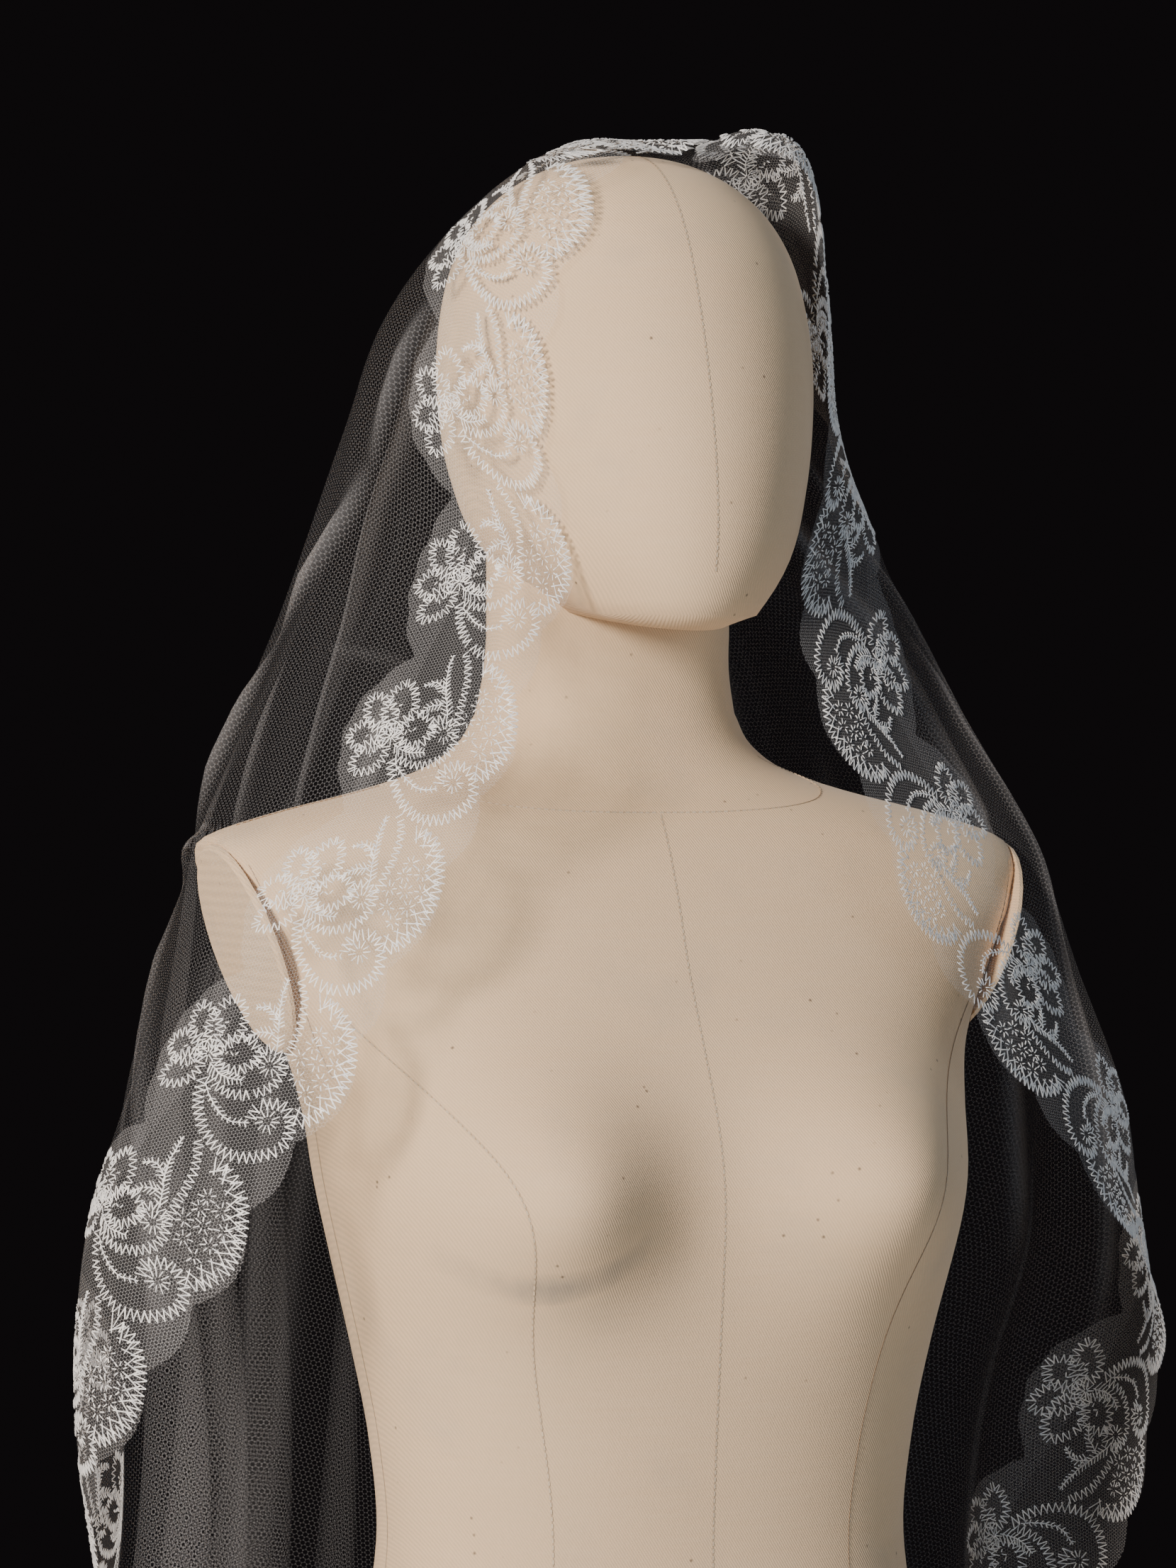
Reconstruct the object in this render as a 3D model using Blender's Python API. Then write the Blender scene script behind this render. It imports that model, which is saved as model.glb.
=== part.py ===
"""Round bridal mantilla worn by a headed dress form on a stand. Metres, +Z up, the form faces -Y."""

import math

import bpy
import numpy as np
from mathutils import Vector
from mathutils.geometry import delaunay_2d_cdt

# Gap between touching pieces
GAP = 0.0003
TINY = 1e-6

# Stand
BASE_RADIUS = 0.19
BASE_THICKNESS = 0.008
BASE_BEVEL = 0.0025
SOCKET_RADIUS = 0.024
SOCKET_HEIGHT = 0.055
POLE_RADIUS = 0.0125
BOARD_THICKNESS = 0.012
BOARD_INSET = 0.010
ROUND_SIDES = 48

# Torso: levels with half width, and reach to the front and the back of the pole's axis
TORSO_COLUMNS = ("z", "half_width", "front", "back")
Z, HALF_WIDTH, FRONT, BACK = range(4)
TORSO_ROWS = (
    (0.757, 0.160, 0.093, 0.100),
    (0.790, 0.167, 0.099, 0.108),
    (0.830, 0.171, 0.102, 0.112),
    (0.880, 0.166, 0.101, 0.110),
    (0.940, 0.149, 0.097, 0.100),
    (1.000, 0.130, 0.090, 0.089),
    (1.045, 0.123, 0.087, 0.084),
    (1.090, 0.127, 0.090, 0.085),
    (1.130, 0.135, 0.094, 0.089),
    (1.170, 0.144, 0.096, 0.094),
    (1.209, 0.152, 0.095, 0.099),
    (1.240, 0.156, 0.088, 0.103),
    (1.270, 0.164, 0.075, 0.106),
    (1.305, 0.184, 0.058, 0.110),
    (1.335, 0.204, 0.046, 0.112),
    (1.352, 0.206, 0.038, 0.113),
    (1.364, 0.192, 0.031, 0.112),
    (1.374, 0.160, 0.024, 0.110),
    (1.383, 0.122, 0.016, 0.108),
    (1.393, 0.089, 0.010, 0.104),
    (1.405, 0.070, 0.007, 0.100),
    (1.420, 0.0605, 0.006, 0.0965),
)
TORSO_SIDES = 44
TORSO_SQUARENESS = 2.3
BUST_HEIGHT = 1.209
BUST_SIDE = 0.083
BUST_SPREAD = 0.050
BUST_DEPTH = 0.044
ARMHOLE_TOP = (0.199, 1.372)
ARMHOLE_BOTTOM = (0.157, 1.252)
ARM_CAP_THICKNESS = 0.003
ARM_CAP_HEIGHT = 1.313
ARM_CAP_Y = 0.030
ARM_CAP_HALF = (0.050, 0.050)
ARM_CAP_SIDES = 32
ARM_CAP_STANDS_OUT = 0.010
ARM_CAP_REACH = 0.060
SHOULDERS_FROM = 1.24

# Neck and head, about an axis that lies behind the pole's
NECK_ROWS = (
    (1.4203, 0.0603, 0.006, 0.0963),
    (1.440, 0.0570, 0.006, 0.093),
    (1.4665, 0.0560, 0.010, 0.090),
)
HEAD_AXIS_Y = 0.021
HEAD_TOP = 1.677
HEAD_ROWS = (
    (1.4555, 0.036, 0.088, 0.062),
    (1.459, 0.046, 0.098, 0.066),
    (1.470, 0.056, 0.107, 0.072),
    (1.490, 0.069, 0.113, 0.081),
    (1.520, 0.078, 0.113, 0.091),
    (1.550, 0.083, 0.108, 0.098),
    (1.580, 0.085, 0.100, 0.101),
    (1.605, 0.083, 0.091, 0.100),
    (1.627, 0.078, 0.081, 0.094),
    (1.645, 0.069, 0.069, 0.083),
    (1.659, 0.056, 0.055, 0.068),
    (1.669, 0.040, 0.039, 0.048),
    (1.675, 0.022, 0.021, 0.026),
)
JAW_RISE = 0.022
JAW_RISE_OVER = (1.455, 1.545)
CHIN_BACK = -0.045
HEAD_SIDES = 40

# Veil: a round of net with a sewn lace edging
VEIL_RADIUS = 0.750
CROWN_TO_FRONT = 0.045
REPEATS = 54
WALL = 0.0010
CLOTH_CLEAR = 0.0035
SHOULDER_CLEAR = 0.004
LARGE_SCALLOP = 0.009
SMALL_SCALLOP = 0.005
CROWN_HEIGHT = HEAD_TOP + CLOTH_CLEAR
HEM_FLOOR = 0.20

# How far the hanging cloth stands from the head's axis, by height and by direction in degrees
# from the front, minus to the form's right
DRAPE_DIRECTIONS = (-180, -111, -85, -55, 0, 50, 80, 111, 180)
DRAPE_ROWS = (
    (1.6795, 0.014, 0.016, 0.015, 0.013, 0.012, 0.036, 0.034, 0.025, 0.015),
    (1.6680, 0.036, 0.042, 0.038, 0.036, 0.030, 0.068, 0.066, 0.052, 0.038),
    (1.6500, 0.066, 0.072, 0.062, 0.056, 0.050, 0.081, 0.080, 0.072, 0.068),
    (1.6000, 0.102, 0.112, 0.098, 0.083, 0.074, 0.092, 0.094, 0.096, 0.102),
    (1.5450, 0.120, 0.131, 0.112, 0.092, 0.082, 0.094, 0.103, 0.112, 0.120),
    (1.4700, 0.143, 0.156, 0.136, 0.109, 0.080, 0.100, 0.134, 0.146, 0.143),
    (1.4200, 0.163, 0.176, 0.163, 0.136, 0.092, 0.120, 0.160, 0.172, 0.163),
    (1.3600, 0.185, 0.197, 0.192, 0.162, 0.112, 0.148, 0.196, 0.200, 0.185),
    (1.3000, 0.205, 0.208, 0.217, 0.182, 0.138, 0.160, 0.216, 0.214, 0.205),
    (1.2400, 0.222, 0.216, 0.244, 0.200, 0.165, 0.182, 0.238, 0.226, 0.222),
    (1.1800, 0.236, 0.219, 0.262, 0.218, 0.195, 0.214, 0.248, 0.236, 0.236),
    (1.1200, 0.248, 0.217, 0.266, 0.232, 0.215, 0.240, 0.262, 0.243, 0.248),
    (1.0300, 0.258, 0.215, 0.260, 0.240, 0.225, 0.248, 0.264, 0.246, 0.258),
    (0.8000, 0.270, 0.232, 0.255, 0.242, 0.225, 0.245, 0.255, 0.248, 0.270),
    (HEM_FLOOR, 0.285, 0.255, 0.255, 0.245, 0.230, 0.250, 0.255, 0.262, 0.285),
)

# Where the free edge hangs: its distance from the crown along the cloth, and its direction in
# degrees from the front on the form's right and left
EDGE_COLUMNS = ("reach", "right", "left")
REACH, RIGHT, LEFT = range(3)
EDGE_ROWS = (
    (0.045, 0, 0),
    (0.066, 20, 20),
    (0.098, 31, 42),
    (0.130, 36, 48),
    (0.177, 40, 53),
    (0.240, 34, 43),
    (0.290, 38, 32),
    (0.370, 44, 35),
    (0.435, 52, 41),
    (0.485, 55, 48),
    (0.560, 63, 58),
    (0.600, 67, 64),
    (0.670, 76, 79),
    (0.800, 86, 97),
    (0.900, 94, 110),
    (1.050, 104, 118),
    (1.200, 114, 125),
    (1.300, 126, 135),
    (1.400, 149, 155),
    (1.455, 180, 180),
)

# Folds at the back: the net's own direction at each crest, and the crest's share of the depth
FOLD_COLUMNS = ("direction", "depth")
CREST, DEPTH = range(2)
FOLD_ROWS = (
    (96.0, 0.30),
    (108.0, 0.40),
    (119.0, 0.65),
    (130.5, 0.95),
    (141.0, 0.90),
    (153.0, 1.10),
    (164.0, 0.95),
    (176.5, 1.08),
    (188.0, 0.92),
    (200.5, 1.10),
    (211.5, 0.90),
    (223.0, 0.80),
    (234.0, 0.55),
    (245.0, 0.40),
    (256.0, 0.25),
    (268.0, 0.10),
)
# Share of each side's cloth that hangs flat next to the free edge, before the folds start
FLAT_SHARE_COLUMNS = ("reach", "share")
SHARE = 1
FLAT_SHARE_ROWS = ((0.10, 0.30), (0.40, 0.33), (0.67, 0.16), (1.00, 0.07), (1.45, 0.04))
FLAT_AT_MOST = 0.7
# The folds deepen with the distance from the crown
FOLD_GROWTH_COLUMNS = ("reach", "share")
FOLD_GROWTH_ROWS = ((0.10, 0.25), (0.35, 0.40), (0.60, 0.85), (0.90, 1.00), (1.45, 1.00))
FOLD_LIMIT = 3.2
FOLD_ROOM = 0.025
LEAST_RATE = 0.05
# A wave whose slope reaches k has a length of about 1 + 0.43 k squared, under a root
WAVE_LENGTH_SHARE = 0.43
BEYOND_EDGE = -0.2

# The free edge also waves in and out: place along the edge from the front, plus to the form's
# left, with the reach in cloth, the push outwards and the lift
WAVE_COLUMNS = ("along", "width", "out", "up")
WAVE_ROWS = (
    (-0.030, 0.045, 0.004, 0.006),
    (0.100, 0.045, 0.002, 0.029),
    (-0.330, 0.070, 0.006, 0.000),
    (-0.560, 0.080, 0.008, 0.000),
    (0.340, 0.070, 0.004, 0.000),
    (0.520, 0.060, 0.006, 0.000),
)
WAVE_DEPTH = 0.07

LEVEL_STEPS = 420
DIRECTION_STEP = 2.5
LENGTHS = np.linspace(0, 1.5, 601)
TOUCH_BLEND = 0.003
FOLD_START_BLEND = 0.08

# Steps of the solids' meshes
REPEAT_STEPS = 6
EDGING_INSETS = (0.090, 0.062, 0.034)
PANEL_LEVELS = (
    0.060, 0.085, 0.110, 0.140, 0.175, 0.215, 0.260, 0.300, 0.330, 0.355, 0.375, 0.395, 0.420,
    0.455, 0.495, 0.545, 0.620, 0.710, 0.805, 0.905, 1.005, 1.105, 1.205, 1.300,
)
FINE_FOLDS_FROM = 0.50
COARSE_TURN = 2.3
FINE_TURN = 1.15
SEAM_MARGIN = 0.022
SEAM_GAP = 0.0010
UNROLLED_TURN = 0.5
CDT_TOLERANCE = 1e-7
NORMAL_STEP = 0.002
LARGE_SHARE = 0.58
SCALLOP_SHIFT = 0.33
SHARP = 0.6
FORM_SHARP = 0.9


def smooth_row(x, xs, ys):
    """Values at x of a smooth curve through the rows, with no overshoot at its ends."""
    xs = np.asarray(xs, float)
    ys = np.asarray(ys, float)
    chords = np.diff(ys) / np.diff(xs)
    slopes = np.concatenate(([chords[0]], (chords[1:] + chords[:-1]) / 2, [chords[-1]]))
    x = np.clip(x, xs[0], xs[-1])
    k = np.clip(np.searchsorted(xs, x, side="right") - 1, 0, len(xs) - 2)
    span = xs[k + 1] - xs[k]
    t = (x - xs[k]) / span
    start = (1 + 2 * t) * (1 - t) ** 2 * ys[k] + t * (1 - t) ** 2 * span * slopes[k]
    end = t * t * (3 - 2 * t) * ys[k + 1] + t * t * (t - 1) * span * slopes[k + 1]
    return start + end


def soft_max(a, b, blend):
    return (a + b + np.sqrt((a - b) ** 2 + blend**2)) / 2


def column(rows, index):
    return [row[index] for row in rows]


def rounded(value, power):
    return math.copysign(abs(value) ** power, value)


def bust(x, z):
    """How far the bust stands forward of the chest at this place."""
    total = 0.0
    for side in (-1, 1):
        away = ((x - side * BUST_SIDE) ** 2 + (z - BUST_HEIGHT) ** 2) / BUST_SPREAD**2
        total += BUST_DEPTH * math.exp(-away)
    return total


def armhole_side(z):
    """How far out the flat cut of the armhole lies at a height."""
    top, bottom = ARMHOLE_TOP, ARMHOLE_BOTTOM
    return bottom[0] + (z - bottom[1]) * (top[0] - bottom[0]) / (top[1] - bottom[1])


def torso_ring(row, turn):
    z, half_width, front, back = row
    power = 2 / TORSO_SQUARENESS
    x = half_width * rounded(math.cos(turn), power)
    y = rounded(math.sin(turn), power)
    y = (back - front) / 2 + y * (back + front) / 2
    if math.sin(turn) < 0:
        y -= bust(x, z) * min(1, -3 * math.sin(turn))
    if ARMHOLE_BOTTOM[1] < z < ARMHOLE_TOP[1]:
        x = math.copysign(min(abs(x), armhole_side(z)), x)
    return x, y, z


def underside(y):
    """Height of the head's flat underside, which the neck meets."""
    lowest = HEAD_ROWS[0]
    from_front = y - HEAD_AXIS_Y + lowest[FRONT]
    return lowest[Z] + JAW_RISE * from_front / (lowest[FRONT] + lowest[BACK])


def neck_ring(row, turn):
    z, half_width, front, back = row
    power = 2 / TORSO_SQUARENESS
    y = (back - front) / 2 + rounded(math.sin(turn), power) * (back + front) / 2
    if row is NECK_ROWS[-1]:
        z = underside(y) - GAP
    return half_width * rounded(math.cos(turn), power), y, z


def head_ring(row, turn):
    z, half_width, front, back = row
    y = HEAD_AXIS_Y + math.sin(turn) * (back if math.sin(turn) > 0 else front)
    if row is HEAD_ROWS[0]:
        return half_width * math.cos(turn), y, underside(y)
    low, high = JAW_RISE_OVER
    behind = min(max((y - CHIN_BACK) / -CHIN_BACK, 0), 1)
    rise = JAW_RISE * behind * min(max((high - z) / (high - low), 0), 1)
    return half_width * math.cos(turn), y, z + rise


def head_radius(z, direction):
    """The head's reach from its axis at a height, along a direction from the front."""
    depth = np.sqrt(np.maximum(HEAD_TOP - z, 0))
    depths = np.sqrt(HEAD_TOP - np.array(column(HEAD_ROWS, Z)))[::-1]
    depths = np.concatenate(([0], depths))
    half_width, front, back = (
        np.maximum(np.interp(depth, depths, [0] + column(HEAD_ROWS, i)[::-1]), TINY)
        for i in (HALF_WIDTH, FRONT, BACK)
    )
    forward = np.where(np.cos(direction) > 0, front, back)
    return 1 / np.hypot(np.sin(direction) / half_width, np.cos(direction) / forward)


def torso_radius(z, directions):
    """The torso's reach from the head's axis at one height, for many directions."""
    if z > TORSO_ROWS[-1][Z]:
        return np.zeros_like(directions)
    heights = column(TORSO_ROWS, Z)
    row = [z] + [np.interp(z, heights, column(TORSO_ROWS, i)) for i in (HALF_WIDTH, FRONT, BACK)]
    ring = np.array([torso_ring(row, math.radians(i)) for i in range(0, 360, 3)])
    x, y = ring[:, 0], ring[:, 1] - HEAD_AXIS_Y
    near_cap = math.exp(-(((z - ARM_CAP_HEIGHT) / ARM_CAP_REACH) ** 2))
    x = x + np.sign(x) * near_cap * ARM_CAP_STANDS_OUT * (np.abs(x) / ARMHOLE_TOP[0]) ** 4
    turn = np.arctan2(x, -y)
    order = np.argsort(turn)
    reach = np.interp(directions, turn[order], np.hypot(x, y)[order], period=2 * math.pi)
    return reach + SHOULDER_CLEAR


def drape_grid():
    """Directions, heights, and at each the cloth's reach, the form's, and the cloth's length."""
    directions = np.radians(np.arange(-180, 180 + DIRECTION_STEP / 2, DIRECTION_STEP))
    falls = np.linspace(0, math.sqrt(CROWN_HEIGHT - HEM_FLOOR), LEVEL_STEPS)
    heights = CROWN_HEIGHT - falls**2
    row_falls = [0] + [math.sqrt(CROWN_HEIGHT - z) for z in column(DRAPE_ROWS, Z)]
    by_direction = np.array(
        [
            smooth_row(falls, row_falls, [0] + column(DRAPE_ROWS, i + 1))
            for i in range(len(DRAPE_DIRECTIONS))
        ]
    )
    knots = [DRAPE_DIRECTIONS[-2] - 360] + list(DRAPE_DIRECTIONS) + [DRAPE_DIRECTIONS[1] + 360]
    columns = [by_direction[-2]] + list(by_direction) + [by_direction[1]]
    reach = np.array(
        [smooth_row(np.degrees(directions), knots, level) for level in np.array(columns).T]
    )
    form = np.array(
        [np.maximum(head_radius(z, directions), torso_radius(z, directions)) for z in heights]
    )
    reach = soft_max(reach, form + CLOTH_CLEAR, TOUCH_BLEND)
    reach[0] = 0
    steps = np.hypot(np.diff(reach, axis=0), np.diff(heights)[:, None])
    lengths = np.vstack((np.zeros(len(directions)), np.cumsum(steps, axis=0)))
    reach_by_length, height_by_length, form_by_length = (
        np.array([np.interp(LENGTHS, lengths[:, i], grid[:, i]) for i in range(len(directions))])
        for grid in (reach, np.repeat(heights[:, None], len(directions), axis=1), form)
    )
    return reach_by_length, height_by_length, form_by_length


CLOTH_REACH, CLOTH_HEIGHT, FORM_REACH = drape_grid()


def lookup(grid, direction, length):
    """Value of a grid over direction and length, smooth between its steps."""
    i = (np.mod(direction + math.pi, 2 * math.pi)) / math.radians(DIRECTION_STEP)
    j = np.clip(length / LENGTHS[1], 0, len(LENGTHS) - 1.001)
    i0 = np.clip(i.astype(int), 0, len(grid) - 2)
    j0 = j.astype(int)
    di, dj = i - i0, j - j0
    low = grid[i0, j0] * (1 - dj) + grid[i0, j0 + 1] * dj
    high = grid[i0 + 1, j0] * (1 - dj) + grid[i0 + 1, j0 + 1] * dj
    return low * (1 - di) + high * di


def end_direction(length):
    """The net's own direction at which the round ends, this far from the crown."""
    centre = VEIL_RADIUS - CROWN_TO_FRONT
    cosine = (VEIL_RADIUS**2 - centre**2 - length**2) / (2 * centre * np.maximum(length, TINY))
    return np.arccos(np.clip(cosine, -1, 1))


def drape(x, y):
    """Where points of the flat round hang. The crown is at 0, 0 and the front edge at -Y."""
    length = np.hypot(x, y)
    own = np.arctan2(x, -y)
    side = np.where(own < 0, -1.0, 1.0)
    ends = np.where(length < CROWN_TO_FRONT, 0, end_direction(length))
    reaches = column(EDGE_ROWS, REACH)
    to_right = smooth_row(length, reaches, column(EDGE_ROWS, RIGHT))
    to_left = smooth_row(length, reaches, column(EDGE_ROWS, LEFT))
    hang = np.radians(np.where(side < 0, to_right, to_left))
    cloth_turn = np.maximum(math.pi - ends, TINY)
    hung_turn = np.maximum(math.pi - hang, TINY)
    share = np.clip((np.abs(own) - ends) / cloth_turn, BEYOND_EDGE, 1)
    middle = lookup(CLOTH_REACH, side * (hang + math.pi) / 2, length)
    fullness = np.maximum(length * cloth_turn / np.maximum(middle * hung_turn, TINY), 1)
    flat = smooth_row(length, column(FLAT_SHARE_ROWS, REACH), column(FLAT_SHARE_ROWS, SHARE))
    flat = np.minimum(flat, FLAT_AT_MOST / fullness)
    late = (1 - fullness * flat) / (1 - flat)
    past = np.hypot(share - flat, FOLD_START_BLEND)
    ramp = (share - flat + past) / 2
    ramp_from = (-flat + np.hypot(flat, FOLD_START_BLEND)) / 2
    ramp_to = (1 - flat + np.hypot(1 - flat, FOLD_START_BLEND)) / 2
    whole = fullness + (late - fullness) * (ramp_to - ramp_from)
    gone = (fullness * share + (late - fullness) * (ramp - ramp_from)) / whole
    rate = (fullness + (late - fullness) * (1 + (share - flat) / past) / 2) / whole
    direction = side * (hang + hung_turn * gone)
    reach = lookup(CLOTH_REACH, direction, length)
    height = lookup(CLOTH_HEIGHT, direction, length)

    turned = np.degrees(np.mod(own, 2 * math.pi))
    crests = column(FOLD_ROWS, CREST)
    place = np.interp(turned, crests, range(len(crests)))
    depth = np.interp(turned, crests, column(FOLD_ROWS, DEPTH), left=0, right=0)
    spacing = np.radians(np.interp(turned, crests[:-1], np.diff(crests)))
    gather = np.clip(fullness / np.maximum(rate, LEAST_RATE), 1, FOLD_LIMIT)
    steep = np.sqrt((gather**2 - 1) / WAVE_LENGTH_SHARE)
    deep = reach * hung_turn * rate / cloth_turn * spacing * steep / (2 * math.pi)
    grown = smooth_row(length, column(FOLD_GROWTH_ROWS, REACH), column(FOLD_GROWTH_ROWS, SHARE))
    form = lookup(FORM_REACH, direction, length)
    free = np.clip((reach - form - CLOTH_CLEAR) / FOLD_ROOM, 0, 1)
    reach = reach + depth * deep * grown * free * np.cos(2 * math.pi * place)
    reach = soft_max(reach, form + CLOTH_CLEAR, TOUCH_BLEND)

    from_centre = y - (VEIL_RADIUS - CROWN_TO_FRONT)
    along = VEIL_RADIUS * np.arctan2(x, -from_centre)
    inside = VEIL_RADIUS - np.hypot(x, from_centre)
    for place, width, out, up in WAVE_ROWS:
        bump = np.exp(-(((along - place) / width) ** 2) - (inside / WAVE_DEPTH) ** 2)
        reach = reach + out * bump
        height = height + up * bump
    across = reach * np.sin(direction)
    return np.stack((across, HEAD_AXIS_Y - reach * np.cos(direction), height), axis=-1)


def flat_point(along, inside):
    """A point of the flat round from its place along the edge and its distance inside it."""
    turn = along / VEIL_RADIUS
    radius = VEIL_RADIUS - inside
    return radius * np.sin(turn), VEIL_RADIUS - CROWN_TO_FRONT - radius * np.cos(turn)


def clear_scene():
    for old in list(bpy.data.objects):
        bpy.data.objects.remove(old)


def material(name, colour, roughness, metallic=0.0):
    made = bpy.data.materials.new(name)
    made.use_nodes = True
    shader = made.node_tree.nodes["Principled BSDF"]
    shader.inputs["Base Color"].default_value = (*colour, 1)
    shader.inputs["Roughness"].default_value = roughness
    shader.inputs["Metallic"].default_value = metallic
    return made


def add_object(name, points, faces, finish, sharp_angle=None):
    mesh = bpy.data.meshes.new(name)
    mesh.from_pydata([tuple(map(float, p)) for p in points], [], faces)
    mesh.materials.append(finish)
    mesh.shade_smooth()
    if sharp_angle:
        mesh.set_sharp_from_angle(angle=sharp_angle)
    made = bpy.data.objects.new(name, mesh)
    bpy.context.scene.collection.objects.link(made)
    return made


def loft(rows, ring, sides):
    """A closed skin through the rows' rings, bottom to top, with flat ends."""
    points, faces = [], []
    for row in rows:
        points += [ring(row, 2 * math.pi * i / sides) for i in range(sides)]
    for k in range(len(rows) - 1):
        for i in range(sides):
            j = (i + 1) % sides
            low, high = k * sides, (k + 1) * sides
            faces.append((low + i, low + j, high + j, high + i))
    faces.append(tuple(reversed(range(sides))))
    faces.append(tuple(range((len(rows) - 1) * sides, len(rows) * sides)))
    return points, faces


def add_arm_cap(name, side, finish):
    """A covered oval board that lies on an armhole's flat cut."""
    slope = Vector((ARMHOLE_TOP[0] - ARMHOLE_BOTTOM[0], 0, ARMHOLE_TOP[1] - ARMHOLE_BOTTOM[1]))
    slope.normalize()
    normal = Vector((slope.z, 0, -slope.x))
    z = ARM_CAP_HEIGHT
    centre = Vector((armhole_side(z), ARM_CAP_Y, z)) + normal * GAP
    points = []
    for depth, shrink in ((0, 0), (ARM_CAP_THICKNESS * 0.6, 0), (ARM_CAP_THICKNESS, 0.002)):
        for i in range(ARM_CAP_SIDES):
            turn = 2 * math.pi * i / ARM_CAP_SIDES
            along = (ARM_CAP_HALF[0] - shrink) * math.cos(turn)
            across = (ARM_CAP_HALF[1] - shrink) * math.sin(turn)
            point = centre + normal * depth + slope * along + Vector((0, across, 0))
            points.append((point.x * side, point.y, point.z))
    n = ARM_CAP_SIDES
    faces = [tuple(range(n)), tuple(reversed(range(2 * n, 3 * n)))]
    for low in (0, n):
        for i in range(n):
            j = (i + 1) % n
            faces.append((low + i, low + n + i, low + n + j, low + j))
    if side < 0:
        faces = [tuple(reversed(face)) for face in faces]
    return add_object(name, points, faces, finish, sharp_angle=SHARP)


def torso_levels():
    """The torso's rows, with one more between each two where the shoulders round over."""
    levels = []
    heights = column(TORSO_ROWS, Z)
    for row, above in zip(TORSO_ROWS, TORSO_ROWS[1:]):
        levels.append(row)
        if SHOULDERS_FROM <= row[Z]:
            middle = (row[Z] + above[Z]) / 2
            sizes = [column(TORSO_ROWS, i) for i in (HALF_WIDTH, FRONT, BACK)]
            levels.append([middle] + [float(smooth_row(middle, heights, size)) for size in sizes])
    return levels + [TORSO_ROWS[-1]]


def turned(name, profile, finish, x=0, y=0, sides=ROUND_SIDES):
    """A closed turned piece about an upright axis, from radius and height pairs, bottom to top."""
    points, faces = [], []
    for radius, z in profile:
        for i in range(sides):
            turn = 2 * math.pi * i / sides
            points.append((x + radius * math.cos(turn), y + radius * math.sin(turn), z))
    for k in range(len(profile) - 1):
        for i in range(sides):
            j = (i + 1) % sides
            low, high = k * sides, (k + 1) * sides
            faces.append((low + i, low + j, high + j, high + i))
    faces.append(tuple(reversed(range(sides))))
    faces.append(tuple(range((len(profile) - 1) * sides, len(profile) * sides)))
    return add_object(name, points, faces, finish, sharp_angle=SHARP)


def cloth_normals(x, y):
    """The hung cloth's outward normals at points of the flat round."""
    across = drape(x + NORMAL_STEP, y) - drape(x - NORMAL_STEP, y)
    back = drape(x, y + NORMAL_STEP) - drape(x, y - NORMAL_STEP)
    normals = np.cross(across, back)
    return normals / np.linalg.norm(normals, axis=1, keepdims=True)


def facing_out(x, y, triangles):
    """The triangles turned so that each runs anticlockwise in the flat round."""
    a, b, c = triangles.T
    turn = (x[b] - x[a]) * (y[c] - y[a]) - (x[c] - x[a]) * (y[b] - y[a])
    return np.where(turn[:, None] > 0, triangles, triangles[:, ::-1])


def cloth_wall(name, x, y, triangles, finish):
    """A closed wall of cloth about the hung sheet, half of it to each side."""
    triangles = facing_out(x, y, triangles)
    points = drape(x, y)
    half = cloth_normals(x, y) * WALL / 2
    count = len(points)
    walls = np.concatenate((points + half, points - half))
    faces = [tuple(map(int, t)) for t in triangles]
    faces += [tuple(int(i) + count for i in reversed(t)) for t in triangles]
    for a, b in boundary(triangles):
        faces.append((int(b), int(a), int(a) + count, int(b) + count))
    return add_object(name, walls, faces, finish)


def scallop(along):
    """How far the lace's outer edge stands out from its notches: a large and a small bump."""
    place = (along / repeat_length() + SCALLOP_SHIFT) % 1
    large = math.sin(math.pi * min(place / LARGE_SHARE, 1))
    small = math.sin(math.pi * max((place - LARGE_SHARE) / (1 - LARGE_SHARE), 0))
    return LARGE_SCALLOP * large + SMALL_SCALLOP * small


def repeat_length():
    return 2 * math.pi * VEIL_RADIUS / REPEATS


def panel_sheet():
    """The net's flat round inside the edging, as flat points and triangles."""
    columns = REPEATS * REPEAT_STEPS
    alongs = [repeat_length() * i / REPEAT_STEPS for i in range(columns)]
    rim = [flat_point(along, EDGING_INSETS[0] + SEAM_GAP) for along in alongs]
    inside_radius = VEIL_RADIUS - EDGING_INSETS[0] - SEAM_MARGIN
    centre = VEIL_RADIUS - CROWN_TO_FRONT
    flat = list(rim)
    for level in PANEL_LEVELS:
        turn = FINE_TURN if level > FINE_FOLDS_FROM else COARSE_TURN
        for i in range(int(360 / turn)):
            own = math.radians(i * turn)
            x, y = level * math.sin(own), -level * math.cos(own)
            if math.hypot(x, y - centre) < inside_radius:
                flat.append((x, y))
    # Triangles are chosen over direction and distance from the crown, so they follow the folds
    unrolled = [
        Vector((math.atan2(x, -y) % (2 * math.pi) * UNROLLED_TURN, math.hypot(x, y)))
        for x, y in flat
    ]
    edges = [(i, (i + 1) % columns) for i in range(columns)]
    _, _, triangles, sources, _, _ = delaunay_2d_cdt(unrolled, edges, [], 1, CDT_TOLERANCE)
    order = [source[0] for source in sources]
    x, y = np.array([flat[i] for i in order]).T
    return x, y, np.array(triangles)


def boundary(triangles):
    """The sheet's outer edges, each in its triangle's own direction."""
    found = set()
    for a, b, c in triangles:
        for edge in ((a, b), (b, c), (c, a)):
            if (edge[1], edge[0]) in found:
                found.remove((edge[1], edge[0]))
            else:
                found.add(edge)
    return sorted(found)


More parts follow.
